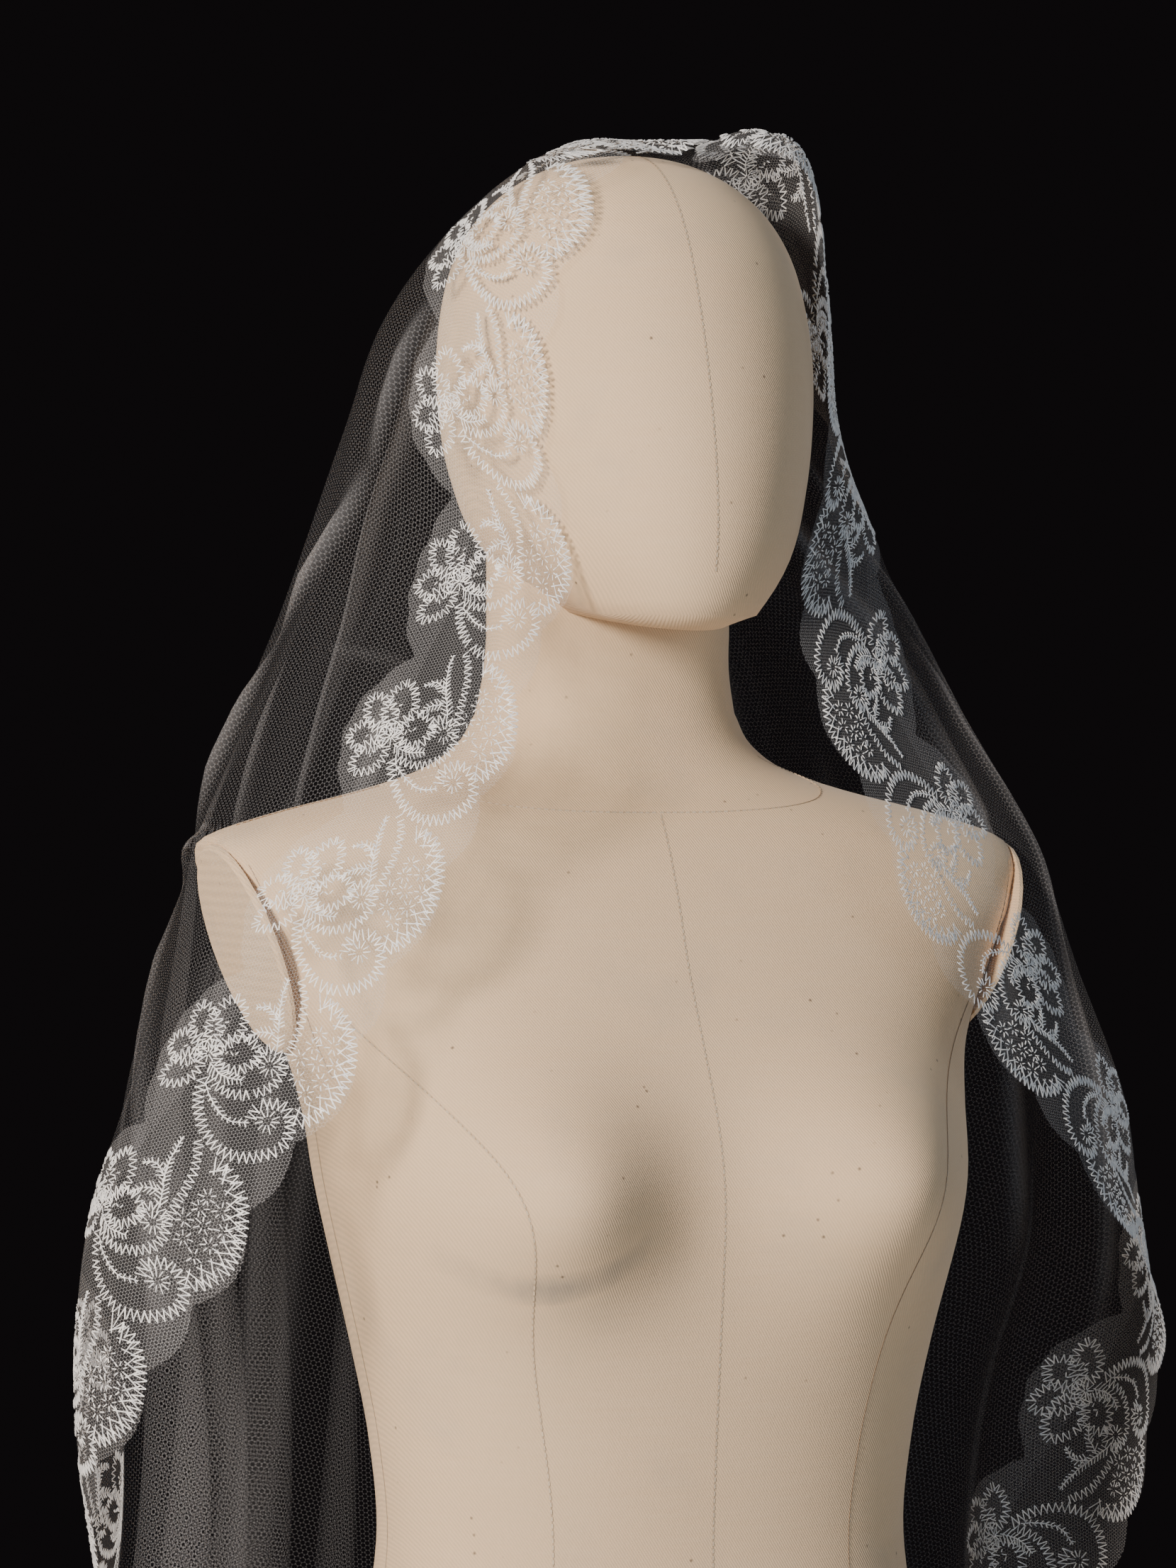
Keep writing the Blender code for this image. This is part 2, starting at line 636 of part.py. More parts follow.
def edging_sheet():
    """The lace edging's band, as flat points and triangles."""
    columns = REPEATS * REPEAT_STEPS
    alongs = [repeat_length() * i / REPEAT_STEPS for i in range(columns)]
    flat = []
    for inset in EDGING_INSETS + (None,):
        for along in alongs:
            inside = LARGE_SCALLOP - scallop(along) if inset is None else inset
            flat.append(flat_point(along, inside))
    x, y = np.array(flat).T
    triangles = []
    for k in range(len(EDGING_INSETS)):
        for i in range(columns):
            j = (i + 1) % columns
            a, b = k * columns + i, k * columns + j
            c, d = b + columns, a + columns
            triangles += [(a, b, c), (a, c, d)]
    return x, y, np.array(triangles)


def add_veil():
    net = material("net", (0.86, 0.86, 0.88), 0.6)
    lace = material("lace", (0.93, 0.92, 0.90), 0.5)
    cloth_wall("net_panel", *panel_sheet(), net)
    cloth_wall("lace_edging", *edging_sheet(), lace)


def add_form():
    linen = material("linen", (0.62, 0.52, 0.40), 0.9)
    torso = loft(torso_levels(), torso_ring, TORSO_SIDES)
    add_object("form_torso", *torso, linen, FORM_SHARP)
    add_arm_cap("arm_cap_right", -1, linen)
    add_arm_cap("arm_cap_left", 1, linen)
    add_object("form_neck", *loft(NECK_ROWS, neck_ring, TORSO_SIDES), linen, FORM_SHARP)
    add_object("form_head", *loft(HEAD_ROWS, head_ring, HEAD_SIDES), linen, FORM_SHARP)
    bottom, *outline = TORSO_ROWS[0]
    board = [
        (z, *(size - BOARD_INSET for size in outline))
        for z in (bottom - GAP - BOARD_THICKNESS, bottom - GAP)
    ]
    wood = material("board", (0.45, 0.30, 0.18), 0.5)
    add_object("hip_board", *loft(board, torso_ring, TORSO_SIDES), wood, SHARP)


def add_stand():
    steel = material("steel", (0.55, 0.55, 0.56), 0.3, 1.0)
    bevel = BASE_BEVEL
    turned(
        "stand_base",
        (
            (BASE_RADIUS, 0),
            (BASE_RADIUS, BASE_THICKNESS - bevel),
            (BASE_RADIUS - bevel, BASE_THICKNESS),
        ),
        steel,
    )
    socket_low = BASE_THICKNESS + GAP
    socket_high = socket_low + SOCKET_HEIGHT
    bore = POLE_RADIUS + GAP
    points, faces = [], []
    profile = (
        (bore, socket_low),
        (SOCKET_RADIUS, socket_low),
        (SOCKET_RADIUS, socket_high - bevel),
        (SOCKET_RADIUS - bevel, socket_high),
        (bore, socket_high),
    )
    sides = ROUND_SIDES // 2
    for radius, z in profile:
        for i in range(sides):
            turn = 2 * math.pi * i / sides
            points.append((radius * math.cos(turn), radius * math.sin(turn), z))
    for k in range(len(profile)):
        for i in range(sides):
            j = (i + 1) % sides
            low, high = k * sides, (k + 1) % len(profile) * sides
            faces.append((low + i, low + j, high + j, high + i))
    add_object("stand_socket", points, faces, steel, sharp_angle=SHARP)
    pole_high = TORSO_ROWS[0][Z] - GAP - BOARD_THICKNESS - GAP
    turned(
        "stand_pole",
        ((POLE_RADIUS, socket_low), (POLE_RADIUS, pole_high)),
        steel,
        sides=ROUND_SIDES // 2,
    )


clear_scene()
add_stand()
add_form()
add_veil()
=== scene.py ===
"""A round bridal mantilla worn by a headed dress form on its stand, as the camera sees it."""

import math

import bmesh
import bpy
import numpy as np
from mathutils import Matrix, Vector


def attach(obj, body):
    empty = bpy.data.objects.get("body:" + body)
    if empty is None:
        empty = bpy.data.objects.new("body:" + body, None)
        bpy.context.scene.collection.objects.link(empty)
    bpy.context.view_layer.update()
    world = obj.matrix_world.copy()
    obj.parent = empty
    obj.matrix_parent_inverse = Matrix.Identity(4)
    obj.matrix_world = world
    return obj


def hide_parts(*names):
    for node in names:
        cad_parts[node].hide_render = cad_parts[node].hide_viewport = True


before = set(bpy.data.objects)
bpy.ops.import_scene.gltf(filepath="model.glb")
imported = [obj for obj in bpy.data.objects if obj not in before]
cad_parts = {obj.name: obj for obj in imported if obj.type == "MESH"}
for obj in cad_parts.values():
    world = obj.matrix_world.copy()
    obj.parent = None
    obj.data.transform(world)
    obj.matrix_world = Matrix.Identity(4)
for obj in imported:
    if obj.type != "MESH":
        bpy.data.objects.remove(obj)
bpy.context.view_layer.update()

bpy.ops.object.select_all(action="DESELECT")


# The photographer's place. A long lens stands level with the form's neck, a little to the
# form's right, and sees the form from the crown of the head to the waist.
CAMERA_TURN = math.radians(-21)
CAMERA_AWAY = 2.2
CAMERA_ASIDE = -0.024
CAMERA_HEIGHT = 1.387
CAMERA_LENS = 73.3

ahead = Vector((-math.sin(CAMERA_TURN), math.cos(CAMERA_TURN), 0))
aside = Vector((math.cos(CAMERA_TURN), math.sin(CAMERA_TURN), 0))
camera = bpy.data.cameras.new("camera")
camera.lens = CAMERA_LENS
camera.sensor_fit = "VERTICAL"
camera.sensor_height = 24
camera_stand = bpy.data.objects.new("camera", camera)
camera_stand.location = ahead * -CAMERA_AWAY + aside * CAMERA_ASIDE
camera_stand.location.z = CAMERA_HEIGHT
camera_stand.rotation_euler = (math.pi / 2, 0, CAMERA_TURN)
bpy.context.scene.collection.objects.link(camera_stand)
bpy.context.scene.camera = camera_stand


# Node shorthand. A socket takes part in sums and products, and each one adds its Math node,
# so a finish below reads as the tailor would say it: linen times weave, less the wear.
class Socket:
    def __init__(self, finish, link):
        self.finish = finish
        self.link = link

    def maths(self, operation, *others):
        return self.finish.node("ShaderNodeMath", {"operation": operation}, dict(enumerate(others)))

    def __add__(self, other):
        return self.maths("ADD", self, other)

    def __radd__(self, other):
        return self.maths("ADD", other, self)

    def __sub__(self, other):
        return self.maths("SUBTRACT", self, other)

    def __rsub__(self, other):
        return self.maths("SUBTRACT", other, self)

    def __mul__(self, other):
        return self.maths("MULTIPLY", self, other)

    def __rmul__(self, other):
        return self.maths("MULTIPLY", other, self)

    def __truediv__(self, other):
        return self.maths("DIVIDE", self, other)

    def cosine(self):
        return self.maths("COSINE", self)

    def held(self):
        """The value kept between nought and one."""
        return self.maths("MINIMUM", self.maths("MAXIMUM", self, 0.0), 1.0)


class Finish:
    """One material, built up node by node about its Principled shader."""

    def __init__(self, name):
        self.material = bpy.data.materials.new(name)
        self.material.use_nodes = True
        self.tree = self.material.node_tree
        self.shader = self.tree.nodes["Principled BSDF"]

    def node(self, kind, settings, values, out=0):
        made = self.tree.nodes.new(kind)
        for name, value in settings.items():
            setattr(made, name, value)
        for name, value in values.items():
            if isinstance(value, Socket):
                self.tree.links.new(value.link, made.inputs[name])
            else:
                made.inputs[name].default_value = value
        return Socket(self, made.outputs[out])

    def coordinates(self, scale=(1, 1, 1), turn=(0, 0, 0)):
        place = self.node("ShaderNodeTexCoord", {}, {}, out="Object")
        values = {"Vector": place, "Scale": scale, "Rotation": turn}
        return self.node("ShaderNodeMapping", {}, values)

    def noise(self, place, scale, detail=3.0, roughness=0.55):
        values = {"Vector": place, "Scale": scale, "Detail": detail, "Roughness": roughness}
        return self.node("ShaderNodeTexNoise", {}, values)

    def blend(self, share, first, second):
        """Two colours mixed. A Mix node's sockets have no names of their own for colours."""
        factor, colour_a, colour_b, colour_out = 0, 6, 7, 2
        values = {factor: share, colour_a: first, colour_b: second}
        return self.node("ShaderNodeMix", {"data_type": "RGBA"}, values, out=colour_out)

    def bump(self, height, distance, strength=1.0):
        values = {"Height": height, "Distance": distance, "Strength": strength}
        return self.node("ShaderNodeBump", {}, values)

    def wear(self, **sockets):
        """Sets the shader's own sockets, by their names with _ for a space."""
        for name, value in sockets.items():
            socket = self.shader.inputs[name.replace("_", " ")]
            if isinstance(value, Socket):
                self.tree.links.new(value.link, socket)
            else:
                socket.default_value = value
        return self.material


# The studio. A pale floor lies before a black backdrop, as in the photograph, which lets white
# net show. A warm key light stands at the viewer's left and a cool fill in front; one weak light
# hangs above, and two stand behind to draw the edges.
LIGHTS_AIM = (0, 0, 1.30)
WARM = (1.0, 0.90, 0.80)
COOL = (0.78, 0.89, 1.0)
NEAR_WHITE = (0.97, 0.97, 1.0)
BACKDROP = (0.0055, 0.0045, 0.005, 1)
FLOOR_SIZE = 5.0
FLOOR_DROP = 0.0005
FLOOR_CLOUDS = 3.0
FLOOR_TONES = ((0.58, 0.57, 0.55, 1), (0.64, 0.63, 0.61, 1))

# Each soft light's name, place, width and height, watts and colour
SOFTBOXES = (
    ("key_light", (-2.35, -1.55, 2.25), (0.5, 0.7), 146, WARM),
    ("fill_light", (0.6, -2.9, 1.3), (1.3, 1.6), 24, COOL),
    ("top_light", (0.1, -0.2, 3.4), (1.4, 1.4), 8, COOL),
    ("left_rim_light", (-1.8, 1.6, 2.1), (0.8, 1.6), 5, NEAR_WHITE),
    ("right_rim_light", (2.0, 1.2, 2.0), (0.8, 1.6), 9, NEAR_WHITE),
)
for name, place, size, watts, colour in SOFTBOXES:
    lamp = bpy.data.lights.new(name, "AREA")
    lamp.shape = "RECTANGLE"
    lamp.size, lamp.size_y = size
    lamp.energy = watts
    lamp.color = colour
    holder = bpy.data.objects.new(name, lamp)
    holder.location = place
    towards = Vector(LIGHTS_AIM) - Vector(place)
    holder.rotation_euler = towards.to_track_quat("-Z", "Y").to_euler()
    bpy.context.scene.collection.objects.link(holder)

world = bpy.data.worlds.new("studio")
world.use_nodes = True
sky = world.node_tree.nodes["Background"]
sky.inputs["Color"].default_value = BACKDROP
sky.inputs["Strength"].default_value = 1.0
bpy.context.scene.world = world

bpy.ops.mesh.primitive_plane_add(size=FLOOR_SIZE, location=(0, 0, -FLOOR_DROP))
floor = bpy.context.active_object
floor.name = "floor"
bpy.ops.object.transform_apply(location=True, rotation=True, scale=True)
floor_finish = Finish("studio_floor")
floor_cloud = floor_finish.noise(floor_finish.coordinates(), FLOOR_CLOUDS)
floor_paint = floor_finish.wear(
    Base_Color=floor_finish.blend(floor_cloud, *FLOOR_TONES),
    Roughness=0.85,
)
floor.data.materials.append(floor_paint)


# The stand. A round steel foot, a collar and a tube, all brushed, carry the form; its underside
# is closed with a varnished plywood board.
AROUND = (40, 40, 1200)
ACROSS = (900, 900, 14)
STEEL_CLOUDS = 9.0
STEEL_TONES = ((0.50, 0.50, 0.51, 1), (0.60, 0.60, 0.60, 1))
BRUSHING_DEPTH = 0.00004
PLY_STRETCH = (6, 60, 60)
PLY_TONES = ((0.30, 0.18, 0.09, 1), (0.50, 0.34, 0.20, 1))
PLY_DEPTH = 0.0002


def dress(finish, *names):
    """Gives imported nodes, which keep their own solids, a finish."""
    for name in names:
        node = bpy.data.objects[name]
        node.data.materials.clear()
        node.data.materials.append(finish)


def brushed_steel(name, stretch):
    steel = Finish(name)
    lines = steel.noise(steel.coordinates(scale=stretch), 1.0, detail=2.0)
    cloud = steel.noise(steel.coordinates(), STEEL_CLOUDS)
    return steel.wear(
        Base_Color=steel.blend(cloud, *STEEL_TONES),
        Metallic=1.0,
        Roughness=0.22 + lines * 0.20,
        Normal=steel.bump(lines, BRUSHING_DEPTH),
    )


dress(brushed_steel("pole_steel", AROUND), "stand_socket", "stand_pole")
dress(brushed_steel("foot_steel", ACROSS), "stand_base")

plywood = Finish("varnished_plywood")
ply_values = {
    "Vector": plywood.coordinates(scale=PLY_STRETCH),
    "Scale": 1.0,
    "Distortion": 6.0,
    "Detail": 3.0,
}
ply_grain = plywood.node("ShaderNodeTexWave", {"bands_direction": "Y"}, ply_values)
varnished = plywood.wear(
    Base_Color=plywood.blend(ply_grain, *PLY_TONES),
    Roughness=0.38 + ply_grain * 0.12,
    Coat_Weight=0.4,
    Normal=plywood.bump(ply_grain, PLY_DEPTH),
)
dress(varnished, "hip_board")


# The form's cover. Unbleached cotton twill is pulled tight over the padded shell: a fine slanted
# rib, dark seed flecks, thicker slubs, grime in patches, and a dusty line of painted shade under one
# breast.
RIB_SLANT = math.radians(32)
RIBS = 285.0
CROSS_STRETCH = (900, 900, 240)
SLUB_STRETCH = (30, 30, 420)
CLOUDS, DUST, FLECKS, FLECK_PATCHES = 7.0, 21.0, 95.0, 34.0
COTTON_TONES = ((0.720, 0.495, 0.300, 1), (0.820, 0.600, 0.385, 1))
SLUB_TONE = (0.830, 0.660, 0.470, 1)
RIB_SHADE = (0.480, 0.365, 0.240, 1)
GRIME_TONE = (0.42, 0.36, 0.29, 1)
# The next tone is painted shade under the breast, with dust in it
UNDERBUST_DUST_AND_SHADE_TONE = (0.34, 0.28, 0.22, 1)
FLECK_TONE = (0.10, 0.07, 0.05, 1)
WEAVE_DEPTH = 0.00022
# The dusty line of painted shade under the breast: its middle, half its length, how far its ends
# rise and half its thickness
UNDERBUST_X, UNDERBUST_Z = -0.083, 1.168
UNDERBUST_HALF = 0.046
UNDERBUST_RISE = 0.018
UNDERBUST_THICK = 0.0075
UNDERBUST_WANDER = 0.012

cotton = Finish("cover_twill")
on_form = cotton.coordinates()
rib_values = {
    "Vector": cotton.coordinates(turn=(0, RIB_SLANT, 0)),
    "Scale": RIBS,
    "Distortion": 1.2,
    "Detail": 1.0,
    "Detail Scale": 0.6,
}
rib = cotton.node("ShaderNodeTexWave", {"bands_direction": "X"}, rib_values)
cross = cotton.noise(cotton.coordinates(scale=CROSS_STRETCH), 1.0, detail=1.0)
slub = cotton.noise(cotton.coordinates(scale=SLUB_STRETCH), 1.0, detail=2.0)
cloud = cotton.noise(on_form, CLOUDS, detail=5.0)
dust = cotton.noise(on_form, DUST, detail=4.0)
fleck_values = {"Vector": on_form, "Scale": FLECKS, "Randomness": 1.0}
seed = cotton.node("ShaderNodeTexVoronoi", {}, fleck_values)
patch = cotton.noise(on_form, FLECK_PATCHES, detail=0.0)
fleck = ((0.10 - seed) * 14.0).held() * ((patch - 0.56) * 14.0).held()
grime = ((dust - 0.56) * 3.2).held() * 0.35
x, y, z = (cotton.node("ShaderNodeSeparateXYZ", {}, {"Vector": on_form}, out=i) for i in range(3))
# Painted shade: a dark curved line under the bust where its underside is shaded, mottled by the dust
# noise, on the front only
under = (x - UNDERBUST_X) / UNDERBUST_HALF
line_height = UNDERBUST_Z + under * under * UNDERBUST_RISE - (cloud - 0.5) * UNDERBUST_WANDER
from_line = (z - line_height) / UNDERBUST_THICK
in_front = (y * -30.0).held()
underbust_dust_and_shade = (1 - from_line * from_line).held() * (1 - under * under).held() * in_front
twill = cotton.blend(cloud, *COTTON_TONES)
twill = cotton.blend((slub - 0.5) * 0.3 + 0.12, twill, SLUB_TONE)
twill = cotton.blend((rib * 0.65 + cross * 0.35) * 0.5, twill, RIB_SHADE)
twill = cotton.blend(grime, twill, GRIME_TONE)
# The underbust line of dust and painted shade darkens the cover here
twill = cotton.blend((underbust_dust_and_shade * (dust * 4.0 - 1.4)).held() * 0.8, twill, UNDERBUST_DUST_AND_SHADE_TONE)
cover_cotton = cotton.wear(
    Base_Color=cotton.blend(fleck * 0.8, twill, FLECK_TONE),
    Roughness=0.82 + cloud * 0.12,
    Specular_IOR_Level=0.25,
    Sheen_Weight=0.12,
    Sheen_Roughness=0.5,
    Normal=cotton.bump(rib * 0.5 + cross * 0.3 + slub * 0.5, WEAVE_DEPTH, 0.8),
)
dress(cover_cotton, "arm_cap_right", "arm_cap_left")


# The form itself. Shell and padding are one round body from hips to neck, sewn into its cover,
# with the arms cut off flat at the armholes; the neck and the egg-shaped head sit on top.
# The neck's skin ends this far under the head's; TINY keeps a divisor above zero
GAP = 0.0003
TINY = 1e-6

# Rings of the torso from hips to neck: height, half width, and reach to the front and the back of
# the pole's axis
Z, HALF_WIDTH, FRONT, BACK = range(4)
SIZES = (HALF_WIDTH, FRONT, BACK)
TORSO_ROWS = (
    (0.757, 0.160, 0.093, 0.100),
    (0.790, 0.167, 0.099, 0.108),
    (0.830, 0.171, 0.102, 0.112),
    (0.880, 0.166, 0.101, 0.110),
    (0.940, 0.149, 0.097, 0.100),
    (1.000, 0.130, 0.090, 0.089),
    (1.045, 0.123, 0.087, 0.084),
    (1.090, 0.127, 0.090, 0.085),
    (1.130, 0.135, 0.094, 0.089),
    (1.170, 0.144, 0.096, 0.094),
    (1.209, 0.152, 0.095, 0.099),
    (1.240, 0.156, 0.088, 0.103),
    (1.270, 0.164, 0.075, 0.106),
    (1.305, 0.184, 0.058, 0.110),
    (1.335, 0.204, 0.046, 0.112),
    (1.352, 0.206, 0.038, 0.113),
    (1.364, 0.192, 0.031, 0.112),
    (1.374, 0.160, 0.024, 0.110),
    (1.383, 0.122, 0.016, 0.108),
    (1.393, 0.089, 0.010, 0.104),
    (1.405, 0.070, 0.007, 0.100),
    (1.420, 0.0605, 0.006, 0.0965),
)
TORSO_SQUARENESS = 2.3
BUST_HEIGHT = 1.209
BUST_SIDE = 0.083
BUST_SPREAD = 0.050
BUST_DEPTH = 0.044
# Each armhole's flat cut: how far out and how high its top and its bottom lie
ARMHOLE_TOP = (0.199, 1.372)
ARMHOLE_BOTTOM = (0.157, 1.252)

# Neck and head, the same four measures; the head's front and back are from an axis of its own
NECK_ROWS = (
    (1.4203, 0.0603, 0.006, 0.0963),
    (1.440, 0.0570, 0.006, 0.093),
    (1.4665, 0.0560, 0.010, 0.090),
)
HEAD_AXIS_Y = 0.021
HEAD_TOP = 1.677
HEAD_ROWS = (
    (1.4555, 0.036, 0.088, 0.062),
    (1.459, 0.046, 0.098, 0.066),
    (1.470, 0.056, 0.107, 0.072),
    (1.490, 0.069, 0.113, 0.081),
    (1.520, 0.078, 0.113, 0.091),
    (1.550, 0.083, 0.108, 0.098),
    (1.580, 0.085, 0.100, 0.101),
    (1.605, 0.083, 0.091, 0.100),
    (1.627, 0.078, 0.081, 0.094),
    (1.645, 0.069, 0.069, 0.083),
    (1.659, 0.056, 0.055, 0.068),
    (1.669, 0.040, 0.039, 0.048),
    (1.675, 0.022, 0.021, 0.026),
)
# Behind the chin the jaw rises, in full at the lower of two heights and not at the upper one
JAW_RISE = 0.022
JAW_RISE_OVER = (1.455, 1.545)
JAW_FLAT_OVER = 0.010
CHIN_BACK = -0.045

# How finely the skins are ringed, closer from the chest up
SKIN_LEVEL = 0.0075
FINE_LEVELS_FROM = 1.24
FINE_LEVEL = 0.003
SMOOTH_BELOW = math.radians(50)
TORSO_SKIN_SIDES = 128
HEAD_SKIN_SIDES = 96
HEAD_LEVELS = 64
HEAD_TIP_FALL = 0.012
NECK_LEVELS = 8
NECK_TOP = 1.4560
NECK_END_INSET = 0.55


def smooth_row(x, xs, ys):
    """Values at x of a smooth curve through the rows, with no overshoot at its ends."""
    xs = np.asarray(xs, float)
    ys = np.asarray(ys, float)
    chords = np.diff(ys) / np.diff(xs)
    slopes = np.concatenate(([chords[0]], (chords[1:] + chords[:-1]) / 2, [chords[-1]]))
    x = np.clip(x, xs[0], xs[-1])
    k = np.clip(np.searchsorted(xs, x, side="right") - 1, 0, len(xs) - 2)
    span = xs[k + 1] - xs[k]
    t = (x - xs[k]) / span
    start = (1 + 2 * t) * (1 - t) ** 2 * ys[k] + t * (1 - t) ** 2 * span * slopes[k]
    end = t * t * (3 - 2 * t) * ys[k + 1] + t * t * (t - 1) * span * slopes[k + 1]
    return start + end


def soft_max(a, b, blend):
    """The larger of two values, eased where they are nearly the same."""
    return (a + b + np.sqrt((a - b) ** 2 + blend**2)) / 2


def column(rows, index):
    return [row[index] for row in rows]


def rounded(value, power):
    """A power of a sine or cosine that keeps its sign."""
    return math.copysign(abs(value) ** power, value)


def bust(x, z):
    """How far the bust stands forward of the chest at this place."""
    total = 0.0
    for side in (-1, 1):
        away = ((x - side * BUST_SIDE) ** 2 + (z - BUST_HEIGHT) ** 2) / BUST_SPREAD**2
        total += BUST_DEPTH * math.exp(-away)
    return total


def armhole_side(z):
    """How far out the flat cut of the armhole lies at a height."""
    top, bottom = ARMHOLE_TOP, ARMHOLE_BOTTOM
    return bottom[0] + (z - bottom[1]) * (top[0] - bottom[0]) / (top[1] - bottom[1])


def torso_ring(row, turn):
    """The torso's skin at a level, squarer than an oval, with its bust and cut armholes."""
    z, half_width, front, back = row
    power = 2 / TORSO_SQUARENESS
    x = half_width * rounded(math.cos(turn), power)
    y = rounded(math.sin(turn), power)
    y = (back - front) / 2 + y * (back + front) / 2
    if math.sin(turn) < 0:
        facing_front = min(1, -3 * math.sin(turn))
        y -= bust(x, z) * facing_front
    if ARMHOLE_BOTTOM[1] < z < ARMHOLE_TOP[1]:
        x = math.copysign(min(abs(x), armhole_side(z)), x)
    return x, y, z


def underside(y):
    """Height of the head's flat underside, which the neck meets."""
    lowest = HEAD_ROWS[0]
    from_front = y - HEAD_AXIS_Y + lowest[FRONT]
    return lowest[Z] + JAW_RISE * from_front / (lowest[FRONT] + lowest[BACK])


def neck_ring(row, turn):
    """The neck's skin at a level, as squarish as the torso's."""
    z, half_width, front, back = row
    power = 2 / TORSO_SQUARENESS
    y = (back - front) / 2 + rounded(math.sin(turn), power) * (back + front) / 2
    return half_width * rounded(math.cos(turn), power), y, z


def extruded_rings(name, rings):
    """A skin drawn up ring by ring from a circle, closed at both ends, then set to its sizes."""
    sides = len(rings[0])
    bpy.ops.object.select_all(action="DESELECT")
    bpy.ops.mesh.primitive_circle_add(vertices=sides, radius=0.1, fill_type="NGON")
    skin = bpy.context.active_object
    skin.name = name
    skin.data.name = name
    bpy.ops.object.mode_set(mode="EDIT")
    for _ in rings[1:]:
        bpy.ops.mesh.extrude_region_move(TRANSFORM_OT_translate={"value": (0, 0, 0.01)})
    bpy.ops.object.mode_set(mode="OBJECT")
    by_height = sorted(skin.data.vertices, key=lambda v: round(v.co.z, 4))
    for k, ring in enumerate(rings):
        for vertex in by_height[k * sides : (k + 1) * sides]:
            turn = math.atan2(vertex.co.y, vertex.co.x)
            vertex.co = ring[round(turn / (2 * math.pi) * sides) % sides]
    mesh = bmesh.new()
    mesh.from_mesh(skin.data)
    bmesh.ops.recalc_face_normals(mesh, faces=mesh.faces)
    mesh.to_mesh(skin.data)
    mesh.free()
    bpy.ops.object.shade_smooth_by_angle(angle=SMOOTH_BELOW)
    bpy.ops.object.transform_apply(location=True, rotation=True, scale=True)
    return skin


def fine_rows(rows, heights):
    """Rows in between, at other heights."""
    known = column(rows, Z)
    sizes = [smooth_row(heights, known, column(rows, i)) for i in SIZES]
    return list(zip(heights, *sizes))


def ring_of(row, ring, sides):
    return [Vector(ring(row, 2 * math.pi * i / sides)) for i in range(sides)]


torso_top = TORSO_ROWS[-1][Z]
torso_heights = list(np.arange(TORSO_ROWS[0][Z], FINE_LEVELS_FROM, SKIN_LEVEL))
torso_heights += list(np.arange(FINE_LEVELS_FROM, torso_top, FINE_LEVEL)) + [torso_top]
torso_rows = fine_rows(TORSO_ROWS, torso_heights)
torso_rings = [ring_of(row, torso_ring, TORSO_SKIN_SIDES) for row in torso_rows]


def head_skin_ring(row, turn):
    """The head's ring at any level, its jaw rising from the flat underside."""
    z, half_width, front, back = row
    y = HEAD_AXIS_Y + math.sin(turn) * (back if math.sin(turn) > 0 else front)
    low, high = JAW_RISE_OVER
    behind = min(max((y - CHIN_BACK) / -CHIN_BACK, 0), 1)
    rise = JAW_RISE * behind * min(max((high - z) / (high - low), 0), 1)
    above = min(max((z - HEAD_ROWS[0][Z]) / JAW_FLAT_OVER, 0), 1)
    z += rise * above + (underside(y) - HEAD_ROWS[0][Z]) * (1 - above)
    return half_width * math.cos(turn), y, z


known_falls = [0.0] + [math.sqrt(HEAD_TOP - z) for z in reversed(column(HEAD_ROWS, Z))]


def head_sizes(falls):
    """Half width, front and back of the head where the root of the height from its top is so."""
    return [smooth_row(falls, known_falls, [0.0] + column(HEAD_ROWS, i)[::-1]) for i in SIZES]


head_falls = np.linspace(math.sqrt(HEAD_TOP - HEAD_ROWS[0][Z]), HEAD_TIP_FALL, HEAD_LEVELS)
head_rows = list(zip(HEAD_TOP - head_falls**2, *head_sizes(head_falls)))
head_rings = [ring_of(row, head_skin_ring, HEAD_SKIN_SIDES) for row in head_rows]
head = extruded_rings("head_cover", head_rings)


def jaw_height(x, y):
    """Height of the head's skin straight above a point under it."""
    for row in head_rows:
        reach = row[BACK] if y > HEAD_AXIS_Y else row[FRONT]
        if (x / row[HALF_WIDTH]) ** 2 + ((y - HEAD_AXIS_Y) / reach) ** 2 < 1:
            turn = math.asin(max(-1, min(1, (y - HEAD_AXIS_Y) / reach)))
            return head_skin_ring(row, turn)[-1]
    return HEAD_TOP


neck_rows = fine_rows(NECK_ROWS, np.linspace(NECK_ROWS[0][Z], NECK_TOP, NECK_LEVELS))
neck_rings = [ring_of(row, neck_ring, TORSO_SKIN_SIDES) for row in neck_rows]
top_ring = [Vector((p.x, p.y, jaw_height(p.x, p.y) - GAP)) for p in neck_rings[-1]]
middle = Vector((0, HEAD_AXIS_Y, 0))
inner_ring = [middle + (Vector((p.x, p.y, 0)) - middle) * NECK_END_INSET for p in neck_rings[-1]]
inner_ring = [Vector((p.x, p.y, underside(p.y) - GAP)) for p in inner_ring]
torso = extruded_rings("torso_cover", torso_rings + neck_rings[1:] + [top_ring, inner_ring])

for skin, nodes in ((torso, ("form_torso", "form_neck")), (head, ("form_head",))):
    skin.data.materials.append(cover_cotton)
    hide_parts(*nodes)
    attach(skin, "root")


# Seams of the cover. Each panel edge shows as a thin pressed line with the machine's stitches
# beside it: centre front and back, princess lines, sides, neck, armholes, and over the head.
SEAM_BOTTOM = 0.760
FRONT_SEAM_TOP = 1.374
BACK_SEAM_TOP = 1.395
SIDE_SEAM_TOP = 1.262
ARMHOLE_SEAM_TOP = 1.352
ARMHOLE_SEAM_IN = 0.004
# The shoulder seam's ends out from the middle, its height at the neck and how far it drops
SHOULDER_NEAR, SHOULDER_FAR = 0.064, 0.196
SHOULDER_HEIGHT, SHOULDER_DROP = 1.400, 0.032
# The neck seam dips in front and rises at the sides
NECK_SEAM_HEIGHT, NECK_SEAM_DIP, NECK_SEAM_SIDES_RISE = 1.390, 0.010, 0.006
# How far below the head's top its seam starts and ends
HEAD_SEAM_DROP, HEAD_SEAM_END = 0.196, 0.0005
